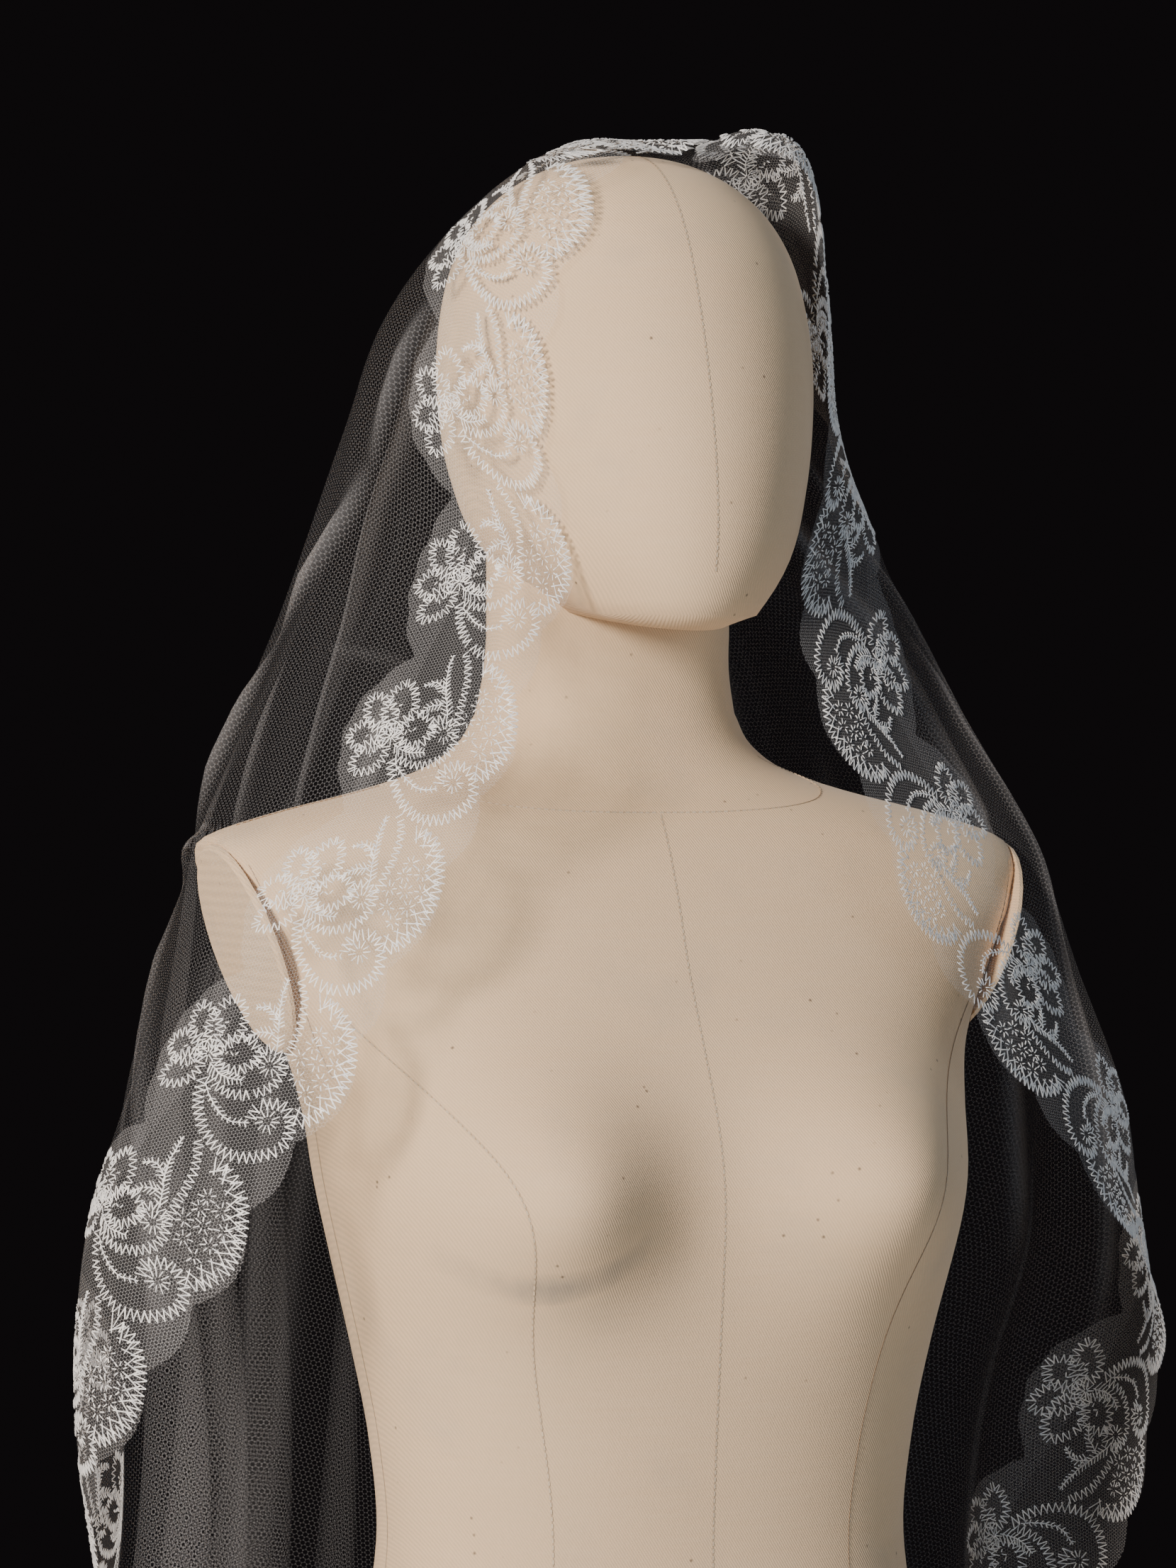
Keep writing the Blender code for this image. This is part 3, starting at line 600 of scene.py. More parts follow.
# The princess line from hips to armhole: height, and distance from the middle
PRINCESS_ROWS = (
    (0.757, 0.098),
    (0.830, 0.104),
    (0.940, 0.086),
    (1.045, 0.071),
    (1.142, 0.085),
    (1.215, 0.103),
    (1.247, 0.122),
    (1.288, 0.156),
)
# Strips of the pressed line overlap; stitches leave a gap
SEAM_STRIP = {"width": 0.0005, "every": 0.0050, "length": 0.0051, "lift": 0.00012}
STITCH_STRIP = {"width": 0.0009, "every": 0.0032, "length": 0.0020, "lift": 0.00025}
CREASE_TONES = ((0.36, 0.26, 0.17, 1), (0.48, 0.36, 0.24, 1))
THREAD_TONES = ((0.44, 0.33, 0.22, 1), (0.70, 0.57, 0.42, 1))
CENTRE = 0.0001
FRONT_FACE, BACK_FACE = -1, 1
# Strips face away from the torso's core line, or from the middle of the head
TORSO_CORE_Y = 0.01
HEAD_CORE = (0, HEAD_AXIS_Y, 1.56)


def torso_row(z):
    return [z] + [float(smooth_row(z, column(TORSO_ROWS, Z), column(TORSO_ROWS, i))) for i in SIZES]


def torso_place(x, z, face):
    """The point of the torso's skin at x and z, on its front or its back."""
    row = torso_row(z)
    cosine = min((abs(x) / row[HALF_WIDTH]) ** (TORSO_SQUARENESS / 2), 1)
    turn = math.acos(math.copysign(cosine, x)) * face
    return Vector(torso_ring(row, turn))


def head_place(z, turn):
    sizes = [float(size) for size in head_sizes(math.sqrt(max(HEAD_TOP - z, 0)))]
    return Vector(head_skin_ring([z] + sizes, turn))


seams = []
for face, top in ((FRONT_FACE, FRONT_SEAM_TOP), (BACK_FACE, BACK_SEAM_TOP)):
    seams.append([torso_place(CENTRE, z, face) for z in np.linspace(SEAM_BOTTOM, top, 150)])
for side in (-1, 1):
    levels = np.linspace(SEAM_BOTTOM, PRINCESS_ROWS[-1][Z], 130)
    princess = list(zip(smooth_row(levels, *zip(*PRINCESS_ROWS)), levels))
    for face in (FRONT_FACE, BACK_FACE):
        seams.append([torso_place(side * x, z, face) for x, z in princess])
    levels = np.linspace(SEAM_BOTTOM, SIDE_SEAM_TOP, 120)
    seams.append([torso_place(side * torso_row(z)[HALF_WIDTH], z, FRONT_FACE) for z in levels])
    shoulder = []
    for x in np.linspace(SHOULDER_NEAR, SHOULDER_FAR, 60):
        share = (x - SHOULDER_NEAR) / (SHOULDER_FAR - SHOULDER_NEAR)
        height = SHOULDER_HEIGHT - SHOULDER_DROP * share**0.8
        shoulder.append(torso_place(side * x, height, FRONT_FACE))
    armhole = []
    for z in np.linspace(ARMHOLE_BOTTOM[1] + ARMHOLE_SEAM_IN, ARMHOLE_SEAM_TOP, 46):
        armhole.append(torso_place(side * (armhole_side(z) - ARMHOLE_SEAM_IN), z, FRONT_FACE))
    seams += [shoulder, armhole, [torso_place(p.x, p.z, BACK_FACE) for p in armhole]]
neck_seam = []
for turn in np.linspace(0, 2 * math.pi, 150):
    dip = NECK_SEAM_DIP * math.cos(turn) + NECK_SEAM_SIDES_RISE * math.cos(2 * turn)
    z = NECK_SEAM_HEIGHT - dip
    neck_seam.append(Vector(torso_ring(torso_row(z), turn - math.pi / 2)))
seams.append(neck_seam)
head_line = HEAD_TOP - HEAD_SEAM_DROP * np.linspace(1, 0.02, 120) ** 2
head_line = head_line[head_line < HEAD_TOP - HEAD_SEAM_END]
for face in (FRONT_FACE, BACK_FACE):
    seams.append([head_place(z, face * math.pi / 2) for z in head_line])


def seam_strips(lines, width, every, length, lift):
    """Flat strips along the lines, one every so far, all of one length."""
    points, faces = [], []
    for line in lines:
        steps = [0.0]
        for a, b in zip(line, line[1:]):
            steps.append(steps[-1] + (b - a).length)
        xyz = np.array([tuple(p) for p in line])

        def at(distance):
            return Vector([float(np.interp(distance, steps, xyz[:, i])) for i in range(3)])

        starts = np.arange(0, steps[-1] - length, every)
        for start in starts:
            a, b = at(start), at(start + length)
            along = (b - a).normalized()
            core = Vector((0, TORSO_CORE_Y, a.z)) if a.z < HEAD_ROWS[0][Z] else Vector(HEAD_CORE)
            out = (a - core).normalized()
            out = (out - along * out.dot(along)).normalized()
            across = along.cross(out) * width / 2
            base = len(points)
            points += [a - across + out * lift, a + across + out * lift]
            points += [b + across + out * lift, b - across + out * lift]
            faces.append((base, base + 1, base + 2, base + 3))
    return points, faces


def sewn_piece(name, points, faces, finish):
    mesh = bpy.data.meshes.new(name)
    mesh.from_pydata([tuple(map(float, p)) for p in points], [], [tuple(map(int, f)) for f in faces])
    mesh.materials.append(finish)
    piece = bpy.data.objects.new(name, mesh)
    bpy.context.scene.collection.objects.link(piece)
    return piece


crease = Finish("seam_crease")
crease_cloud = crease.noise(crease.coordinates(), 160.0)
crease_dark = crease.wear(Base_Color=crease.blend(crease_cloud, *CREASE_TONES), Roughness=0.9)
thread = Finish("seam_thread")
thread_cloud = thread.noise(thread.coordinates(), 400.0)
thread_tone = thread.wear(Base_Color=thread.blend(thread_cloud, *THREAD_TONES), Roughness=0.75)
for name, strip, finish in (
    ("seam_lines", SEAM_STRIP, crease_dark),
    ("seam_stitches", STITCH_STRIP, thread_tone),
):
    piece = sewn_piece(name, *seam_strips(seams, **strip), finish)
    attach(piece, "root")


# The veil's cut and how it hangs. Net and lace are cut to one round, laid over the head with only
# a little of it in front of the crown; from there it falls over the shoulders and into folds
# behind. Both pieces hang by the same rows, which the solids share.
VEIL_RADIUS = 0.750
CROWN_TO_FRONT = 0.045
REPEATS = 54
REPEAT = 2 * math.pi * VEIL_RADIUS / REPEATS
CLOTH_CLEAR = 0.0030
SHOULDER_CLEAR = 0.0005
ARM_CAP_HEIGHT = 1.313
ARM_CAP_STANDS_OUT = 0.0045
ARM_CAP_REACH = 0.060
CROWN_HEIGHT = HEAD_TOP + CLOTH_CLEAR
HEM_FLOOR = 0.20

# How far the hanging cloth stands from the head's axis, by height and by direction in degrees
# from the front, minus to the form's right
DRAPE_DIRECTIONS = (-180, -111, -85, -55, 0, 50, 80, 111, 180)
DRAPE_ROWS = (
    (1.6795, 0.014, 0.016, 0.015, 0.013, 0.012, 0.036, 0.034, 0.025, 0.015),
    (1.6680, 0.036, 0.042, 0.038, 0.036, 0.030, 0.068, 0.066, 0.052, 0.038),
    (1.6500, 0.066, 0.072, 0.062, 0.056, 0.050, 0.081, 0.080, 0.072, 0.068),
    (1.6000, 0.102, 0.112, 0.098, 0.083, 0.074, 0.092, 0.094, 0.096, 0.102),
    (1.5450, 0.120, 0.131, 0.112, 0.092, 0.082, 0.094, 0.103, 0.112, 0.120),
    (1.4700, 0.143, 0.156, 0.136, 0.109, 0.080, 0.100, 0.134, 0.146, 0.143),
    (1.4200, 0.163, 0.176, 0.163, 0.136, 0.092, 0.120, 0.160, 0.172, 0.163),
    (1.3600, 0.185, 0.197, 0.192, 0.162, 0.112, 0.148, 0.196, 0.200, 0.185),
    (1.3000, 0.205, 0.208, 0.217, 0.182, 0.138, 0.160, 0.216, 0.214, 0.205),
    (1.2400, 0.222, 0.216, 0.244, 0.200, 0.165, 0.182, 0.238, 0.226, 0.222),
    (1.1800, 0.236, 0.219, 0.262, 0.218, 0.195, 0.214, 0.248, 0.236, 0.236),
    (1.1200, 0.248, 0.217, 0.266, 0.232, 0.215, 0.240, 0.262, 0.243, 0.248),
    (1.0300, 0.258, 0.215, 0.260, 0.240, 0.225, 0.248, 0.264, 0.246, 0.258),
    (0.8000, 0.270, 0.232, 0.255, 0.242, 0.225, 0.245, 0.255, 0.248, 0.270),
    (HEM_FLOOR, 0.285, 0.255, 0.255, 0.245, 0.230, 0.250, 0.255, 0.262, 0.285),
)

# Where the free edge hangs: its distance from the crown along the cloth, and its direction in
# degrees from the front on the form's right and left
REACH, RIGHT, LEFT = range(3)
EDGE_ROWS = (
    (0.045, 0, 0),
    (0.066, 20, 20),
    (0.098, 31, 42),
    (0.130, 36, 48),
    (0.177, 40, 53),
    (0.240, 34, 43),
    (0.290, 38, 32),
    (0.370, 44, 35),
    (0.435, 52, 41),
    (0.485, 55, 48),
    (0.560, 63, 58),
    (0.600, 67, 64),
    (0.670, 76, 79),
    (0.800, 86, 97),
    (0.900, 94, 110),
    (1.050, 104, 118),
    (1.200, 114, 125),
    (1.300, 126, 135),
    (1.400, 149, 155),
    (1.455, 180, 180),
)

# Folds at the back: the net's own direction at each crest, and the crest's share of the depth
CREST, DEPTH = range(2)
FOLD_ROWS = (
    (96.0, 0.30),
    (108.0, 0.40),
    (119.0, 0.65),
    (130.5, 0.95),
    (141.0, 0.90),
    (153.0, 1.10),
    (164.0, 0.95),
    (176.5, 1.08),
    (188.0, 0.92),
    (200.5, 1.10),
    (211.5, 0.90),
    (223.0, 0.80),
    (234.0, 0.55),
    (245.0, 0.40),
    (256.0, 0.25),
    (268.0, 0.10),
)
# Share of each side's cloth that hangs flat next to the free edge, before the folds start, by its
# distance from the crown
SHARE = 1
FLAT_SHARE_ROWS = ((0.10, 0.30), (0.40, 0.33), (0.67, 0.16), (1.00, 0.07), (1.45, 0.04))
FLAT_AT_MOST = 0.7
# The folds' share of their full depth, by the distance from the crown
FOLD_GROWTH_ROWS = ((0.10, 0.25), (0.35, 0.40), (0.60, 0.85), (0.90, 1.00), (1.45, 1.00))
FOLD_LIMIT = 3.2
FOLD_ROOM = 0.025
LEAST_RATE = 0.05
# A wave whose slope reaches k has a length of about 1 + 0.43 k squared, under a root
WAVE_LENGTH_SHARE = 0.43
BEYOND_EDGE = -0.2

# The free edge also waves in and out: place along the edge from the front, plus to the form's
# left, with the reach in cloth, the push outwards and the lift
WAVE_ROWS = (
    (-0.030, 0.045, 0.004, 0.006),
    (0.100, 0.045, 0.002, 0.029),
    (-0.330, 0.070, 0.006, 0.000),
    (-0.560, 0.080, 0.008, 0.000),
    (0.340, 0.070, 0.004, 0.000),
    (0.520, 0.060, 0.006, 0.000),
)
WAVE_DEPTH = 0.07

LEVEL_STEPS = 420
DIRECTION_STEP = 2.5
LENGTHS = np.linspace(0, 1.5, 601)
TOUCH_BLEND = 0.003
FOLD_START_BLEND = 0.08


def head_radius(z, direction):
    """The head's reach from its axis at a height, along a direction from the front."""
    depth = np.sqrt(np.maximum(HEAD_TOP - z, 0))
    depths = np.sqrt(HEAD_TOP - np.array(column(HEAD_ROWS, Z)))[::-1]
    depths = np.concatenate(([0], depths))
    half_width, front, back = (
        np.maximum(np.interp(depth, depths, [0] + column(HEAD_ROWS, i)[::-1]), TINY)
        for i in SIZES
    )
    forward = np.where(np.cos(direction) > 0, front, back)
    return 1 / np.hypot(np.sin(direction) / half_width, np.cos(direction) / forward)


def torso_radius(z, directions):
    """The torso's reach from the head's axis at one height, for many directions."""
    if z > TORSO_ROWS[-1][Z]:
        return np.zeros_like(directions)
    heights = column(TORSO_ROWS, Z)
    row = [z] + [np.interp(z, heights, column(TORSO_ROWS, i)) for i in SIZES]
    ring = np.array([torso_ring(row, math.radians(i)) for i in range(0, 360, 3)])
    x, y = ring[:, 0], ring[:, 1] - HEAD_AXIS_Y
    near_cap = math.exp(-(((z - ARM_CAP_HEIGHT) / ARM_CAP_REACH) ** 2))
    x = x + np.sign(x) * near_cap * ARM_CAP_STANDS_OUT * (np.abs(x) / ARMHOLE_TOP[0]) ** 4
    turn = np.arctan2(x, -y)
    order = np.argsort(turn)
    reach = np.interp(directions, turn[order], np.hypot(x, y)[order], period=2 * math.pi)
    return reach + SHOULDER_CLEAR


def drape_grid():
    """Directions, heights, and at each the cloth's reach, the form's, and the cloth's length."""
    directions = np.radians(np.arange(-180, 180 + DIRECTION_STEP / 2, DIRECTION_STEP))
    falls = np.linspace(0, math.sqrt(CROWN_HEIGHT - HEM_FLOOR), LEVEL_STEPS)
    heights = CROWN_HEIGHT - falls**2
    row_falls = [0] + [math.sqrt(CROWN_HEIGHT - z) for z in column(DRAPE_ROWS, Z)]
    reaches = [column(DRAPE_ROWS, i + 1) for i in range(len(DRAPE_DIRECTIONS))]
    falling = [smooth_row(falls, row_falls, [0] + reach) for reach in reaches]
    knots = [DRAPE_DIRECTIONS[-2] - 360] + list(DRAPE_DIRECTIONS) + [DRAPE_DIRECTIONS[1] + 360]
    levels = np.array([falling[-2]] + falling + [falling[1]]).T
    reach = np.array([smooth_row(np.degrees(directions), knots, level) for level in levels])
    form = [np.maximum(head_radius(z, directions), torso_radius(z, directions)) for z in heights]
    form = np.array(form)
    reach = soft_max(reach, form + CLOTH_CLEAR, TOUCH_BLEND)
    reach[0] = 0
    steps = np.hypot(np.diff(reach, axis=0), np.diff(heights)[:, None])
    lengths = np.vstack((np.zeros(len(directions)), np.cumsum(steps, axis=0)))
    all_heights = np.repeat(heights[:, None], len(directions), axis=1)
    return (
        np.array([np.interp(LENGTHS, lengths[:, i], grid[:, i]) for i in range(len(directions))])
        for grid in (reach, all_heights, form)
    )


CLOTH_REACH, CLOTH_HEIGHT, FORM_REACH = drape_grid()


def lookup(grid, direction, length):
    """Value of a grid over direction and length, smooth between its steps."""
    i = (np.mod(direction + math.pi, 2 * math.pi)) / math.radians(DIRECTION_STEP)
    j = np.clip(length / LENGTHS[1], 0, len(LENGTHS) - 1.001)
    i0 = np.clip(i.astype(int), 0, len(grid) - 2)
    j0 = j.astype(int)
    di, dj = i - i0, j - j0
    low = grid[i0, j0] * (1 - dj) + grid[i0, j0 + 1] * dj
    high = grid[i0 + 1, j0] * (1 - dj) + grid[i0 + 1, j0 + 1] * dj
    return low * (1 - di) + high * di


def end_direction(length):
    """The net's own direction at which the round ends, this far from the crown."""
    centre = VEIL_RADIUS - CROWN_TO_FRONT
    cosine = (VEIL_RADIUS**2 - centre**2 - length**2) / (2 * centre * np.maximum(length, TINY))
    return np.arccos(np.clip(cosine, -1, 1))


def drape(x, y):
    """Where points of the flat round hang. The crown is at 0, 0 and the front edge at -Y."""
    length = np.hypot(x, y)
    own = np.arctan2(x, -y)
    side = np.where(own < 0, -1.0, 1.0)
    ends = np.where(length < CROWN_TO_FRONT, 0, end_direction(length))
    reaches = column(EDGE_ROWS, REACH)
    to_right = smooth_row(length, reaches, column(EDGE_ROWS, RIGHT))
    to_left = smooth_row(length, reaches, column(EDGE_ROWS, LEFT))
    hang = np.radians(np.where(side < 0, to_right, to_left))
    cloth_turn = np.maximum(math.pi - ends, TINY)
    hung_turn = np.maximum(math.pi - hang, TINY)
    share = np.clip((np.abs(own) - ends) / cloth_turn, BEYOND_EDGE, 1)
    middle = lookup(CLOTH_REACH, side * (hang + math.pi) / 2, length)
    fullness = np.maximum(length * cloth_turn / np.maximum(middle * hung_turn, TINY), 1)
    flat = smooth_row(length, column(FLAT_SHARE_ROWS, REACH), column(FLAT_SHARE_ROWS, SHARE))
    flat = np.minimum(flat, FLAT_AT_MOST / fullness)
    late = (1 - fullness * flat) / (1 - flat)
    past = np.hypot(share - flat, FOLD_START_BLEND)
    ramp = (share - flat + past) / 2
    ramp_from = (-flat + np.hypot(flat, FOLD_START_BLEND)) / 2
    ramp_to = (1 - flat + np.hypot(1 - flat, FOLD_START_BLEND)) / 2
    whole = fullness + (late - fullness) * (ramp_to - ramp_from)
    gone = (fullness * share + (late - fullness) * (ramp - ramp_from)) / whole
    rate = (fullness + (late - fullness) * (1 + (share - flat) / past) / 2) / whole
    direction = side * (hang + hung_turn * gone)
    reach = lookup(CLOTH_REACH, direction, length)
    height = lookup(CLOTH_HEIGHT, direction, length)

    turned = np.degrees(np.mod(own, 2 * math.pi))
    crests = column(FOLD_ROWS, CREST)
    place = np.interp(turned, crests, range(len(crests)))
    depth = np.interp(turned, crests, column(FOLD_ROWS, DEPTH), left=0, right=0)
    spacing = np.radians(np.interp(turned, crests[:-1], np.diff(crests)))
    gather = np.clip(fullness / np.maximum(rate, LEAST_RATE), 1, FOLD_LIMIT)
    steep = np.sqrt((gather**2 - 1) / WAVE_LENGTH_SHARE)
    deep = reach * hung_turn * rate / cloth_turn * spacing * steep / (2 * math.pi)
    grown = smooth_row(length, column(FOLD_GROWTH_ROWS, REACH), column(FOLD_GROWTH_ROWS, SHARE))
    form = lookup(FORM_REACH, direction, length)
    free = np.clip((reach - form - CLOTH_CLEAR) / FOLD_ROOM, 0, 1)
    reach = reach + depth * deep * grown * free * np.cos(2 * math.pi * place)
    reach = soft_max(reach, form + CLOTH_CLEAR, TOUCH_BLEND)

    from_centre = y - (VEIL_RADIUS - CROWN_TO_FRONT)
    along = VEIL_RADIUS * np.arctan2(x, -from_centre)
    inside = VEIL_RADIUS - np.hypot(x, from_centre)
    for place, width, out, up in WAVE_ROWS:
        bump = np.exp(-(((along - place) / width) ** 2) - (inside / WAVE_DEPTH) ** 2)
        reach = reach + out * bump
        height = height + up * bump
    across = reach * np.sin(direction)
    return np.stack((across, HEAD_AXIS_Y - reach * np.cos(direction), height), axis=-1)


def flat_point(along, inside):
    """A point of the flat round from its place along the edge and its distance inside it."""
    turn = along / VEIL_RADIUS
    radius = VEIL_RADIUS - inside
    return radius * np.sin(turn), VEIL_RADIUS - CROWN_TO_FRONT - radius * np.cos(turn)


# The net. A round of fine nylon tulle, folded back from the face, falls from the crown over
# head and shoulders, and gathers into deep uneven folds behind; soft, springy and faintly bright.
NET_RAYS = 560
NET_STEPS = 150
NET_RADIUS = VEIL_RADIUS - 0.066
NET_CELL = 0.0021
NET_THREADS, NET_HAZE = 0.086, 0.001
NET_TONES = ((0.78, 0.78, 0.82, 1), (0.88, 0.87, 0.89, 1))
HEX_TURNS = np.radians((0, 120, 240))
LINE_SHARPNESS, LINE_FROM = 4.0, 3.5
NET_CLOUDS, HAZE_LEAST, HAZE_CLOUDED = 16.0, 0.80, 0.40
HIGHLIGHT_COVER = 0.11
NORMAL_STEP = 0.002
# Painted highlight, extra cover that brightens the net: its share in creases of full height, and
# along the folds' crests
FULL_CREASE, CREASE_HIGHLIGHT, CREST_HIGHLIGHT, CREST_SHARPNESS = 0.006, 0.8, 0.12, 24
# The net behind the form lies in shade, and that shade is painted: round this direction its threads
# are made fainter and its painted crease highlights dimmer
BEHIND, BEHIND_HALF, BEHIND_BLEND = 175, 50, 20
NET_THINNED_FOR_SHADE, CREASE_LIGHT_DIMMED_FOR_SHADE = 0.50, 0.75
# The crests' painted highlight and the painted shade start this far from the crown, and are full
# this much further on
CREST_FROM, CREST_OVER = 0.15, 0.3
SHADE_FROM, SHADE_OVER = 0.25, 0.2

# Small creases, listed one by one: the net's own direction and the distance from the crown at both
# ends of each, how wide it is and how far it stands out
CREASE_FADE = 0.04
CREASE_FAR_SIDE = 1.4
CREASE_ROWS = (
    (251.5, 0.120, 238.5, 0.216, 0.0042, 0.0055),
    (239.5, 0.205, 228.5, 0.304, 0.0045, 0.0065),
    (229.5, 0.295, 222.5, 0.400, 0.0045, 0.0065),
    (231.0, 0.290, 226.0, 0.350, 0.0025, 0.0030),
    (239.0, 0.297, 254.0, 0.300, 0.0018, 0.0016),
    (234.0, 0.420, 231.0, 0.640, 0.0040, 0.0040),
    (206.0, 0.100, 203.0, 0.900, 0.0055, 0.0055),
    (214.0, 0.300, 209.0, 0.720, 0.0035, 0.0040),
    (196.0, 0.300, 199.0, 1.200, 0.0050, 0.0050),
    (184.0, 0.120, 181.0, 0.750, 0.0055, 0.0055),
    (171.0, 0.250, 173.5, 1.250, 0.0050, 0.0050),
    (158.0, 0.120, 156.0, 0.800, 0.0055, 0.0055),
    (147.0, 0.350, 149.0, 1.100, 0.0045, 0.0045),
    (135.0, 0.140, 131.0, 0.620, 0.0045, 0.0050),
    (125.0, 0.280, 121.0, 0.660, 0.0035, 0.0040),
    (119.0, 0.180, 123.0, 0.440, 0.0030, 0.0030),
    (250.0, 0.450, 246.0, 0.800, 0.0040, 0.0040),
    (112.0, 0.480, 116.0, 0.840, 0.0040, 0.0040),
)


def crease_heights(x, y):
    """How far the listed creases lift the cloth at flat points."""
    lift = np.zeros_like(x)
    for from_turn, from_length, to_turn, to_length, width, height in CREASE_ROWS:
        turns = np.radians((from_turn, to_turn))
        ends = np.stack((np.sin(turns), -np.cos(turns)), axis=1) * ((from_length,), (to_length,))
        length = np.hypot(*(ends[1] - ends[0]))
        run = (ends[1] - ends[0]) / length
        from_x, from_y = x - ends[0][0], y - ends[0][1]
        along = from_x * run[0] + from_y * run[1]
        aside = from_x * run[1] - from_y * run[0]
        fade = np.clip(along / CREASE_FADE, 0, 1) * np.clip((length - along) / CREASE_FADE, 0, 1)
        sides = np.where(aside < 0, width, CREASE_FAR_SIDE * width)
        lift = np.maximum(lift, height * fade * np.exp(-((aside / sides) ** 2)))
    return lift


def cloth_normals(x, y):
    """The hung cloth's outward normals at points of the flat round."""
    across = drape(x + NORMAL_STEP, y) - drape(x - NORMAL_STEP, y)
    back = drape(x, y + NORMAL_STEP) - drape(x, y - NORMAL_STEP)
    normals = np.cross(across, back)
    return normals / np.linalg.norm(normals, axis=1, keepdims=True)


def grid_faces(rows, columns, closed=False):
    """Faces between points laid row by row; closed joins each row's end to its start."""
    faces = []
    for k in range(rows - 1):
        here, above = k * columns, (k + 1) * columns
        for i in range(columns if closed else columns - 1):
            j = (i + 1) % columns
            faces.append((here + i, here + j, above + j, above + i))
    return faces


def cloth_piece(name, x, y, points, faces, finish):
    """A sheet in its hung place, whose UV map is the flat cut in metres."""
    piece = sewn_piece(name, points, faces, finish)
    flat_map = piece.data.uv_layers.new(name="flat_cut")
    corners = np.array([loop.vertex_index for loop in piece.data.loops])
    flat_map.data.foreach_set("uv", np.stack((x[corners], y[corners]), axis=1).ravel())
    piece.data.shade_smooth()
    return piece


def share_attribute(piece, name, values):
    made = piece.data.attributes.new(name, "FLOAT", "POINT")
    made.data.foreach_set("value", np.asarray(values, dtype=np.float32))


crown_away = VEIL_RADIUS - CROWN_TO_FRONT
widest_ray = math.asin(NET_RADIUS / crown_away)
ray_turns = widest_ray * np.sin(np.linspace(-math.pi / 2, math.pi / 2, NET_RAYS + 1))[1:-1]
half_chord = np.sqrt(NET_RADIUS**2 - (crown_away * np.sin(ray_turns)) ** 2)
near = crown_away * np.cos(ray_turns) - half_chord
shares = np.linspace(0, 1, NET_STEPS + 1)
lengths = near[None, :] + 2 * half_chord[None, :] * shares[:, None]
net_x = (lengths * np.sin(ray_turns)[None, :]).ravel()
net_y = (lengths * np.cos(ray_turns)[None, :]).ravel()
net_lift = crease_heights(net_x, net_y)
net_points = drape(net_x, net_y) + cloth_normals(net_x, net_y) * net_lift[:, None]


def tulle(net, weave, threads, haze):
    """The cover, the thread's line and the cloudiness of a net laid on the flat cut.

    Three waves make the six-sided cells. The threads between them give most of the cover, over a
    slight cloudy haze; the cover is thinned as painted shade and added to as painted highlight."""
    cut = net.node("ShaderNodeUVMap", {"uv_map": "flat_cut"}, {})
    across, back = (net.node("ShaderNodeSeparateXYZ", {}, {"Vector": cut}, out=i) for i in (0, 1))
    turn = 2 * math.pi / weave
    waves = [across * (turn * math.cos(a)) + back * (turn * math.sin(a)) for a in HEX_TURNS]
    beat = waves[0].cosine() + waves[1].cosine() + waves[2].cosine()
    line = (beat * -LINE_SHARPNESS - LINE_FROM).held()
    cloud = net.noise(cut, NET_CLOUDS, detail=4.0)
    # Painted light: one attribute adds cover along creases and fold crests as painted highlight; the
    # other thins the net behind the form as painted shade
    gather = net.node("ShaderNodeAttribute", {"attribute_name": "gather"}, {}, out="Fac")
    unshaded = net.node("ShaderNodeAttribute", {"attribute_name": "unshaded_share"}, {}, out="Fac")
    clouded = haze * (HAZE_LEAST + cloud * HAZE_CLOUDED)
    cover = (clouded + line * threads) * unshaded + gather * HIGHLIGHT_COVER
    return cover.held(), line, cloud


net_finish = Finish("net_tulle")
net_cover, net_line, net_cloud = tulle(net_finish, NET_CELL, NET_THREADS, NET_HAZE)
net_white = net_finish.wear(
    Base_Color=net_finish.blend(net_cloud, *NET_TONES),
    Roughness=0.55 + net_line * 0.1,
    Specular_IOR_Level=0.2,
    Sheen_Weight=0.15,
    Sheen_Roughness=0.35,
    Alpha=net_cover,
)
net_faces = grid_faces(NET_STEPS + 1, NET_RAYS - 1)
net = cloth_piece("net", net_x, net_y, net_points, net_faces, net_white)
from_crown = np.hypot(net_x, net_y)
fold_turn = np.degrees(np.mod(np.arctan2(net_x, -net_y), 2 * math.pi))
fold_place = np.interp(fold_turn, column(FOLD_ROWS, CREST), range(len(FOLD_ROWS)))
crest = np.maximum(np.cos(2 * math.pi * fold_place), 0) ** CREST_SHARPNESS
crest *= np.clip((from_crown - CREST_FROM) / CREST_OVER, 0, 1)
behind = np.clip((BEHIND_HALF - np.abs(fold_turn - BEHIND)) / BEHIND_BLEND, 0, 1)
behind *= np.clip((from_crown - SHADE_FROM) / SHADE_OVER, 0, 1)
# Painted highlight along the creases and the folds' crests, dimmed where the net's shade is painted
highlighted = np.clip(net_lift / FULL_CREASE, 0, 1) * CREASE_HIGHLIGHT + crest * CREST_HIGHLIGHT
share_attribute(net, "gather", highlighted * (1 - CREASE_LIGHT_DIMMED_FOR_SHADE * behind))
# Painted shade: the net behind the form is made fainter, standing in for the shade it lies in
share_attribute(net, "unshaded_share", 1 - NET_THINNED_FOR_SHADE * behind)
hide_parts("net_panel")
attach(net, "root")


# The lace's ground. A band of closer, milky net carries the embroidery; its outer edge is cut
# along the scallops, and its inner edge swells round each flower where it is sewn to the net.
LACE_COLUMNS = 44
LACE_ROWS = 11
LACE_LIFT = 0.0004
LACE_CELL = 0.0014
LACE_THREADS, LACE_HAZE = 0.20, 0.022
LACE_TONES = ((0.80, 0.79, 0.82, 1), (0.90, 0.89, 0.89, 1))
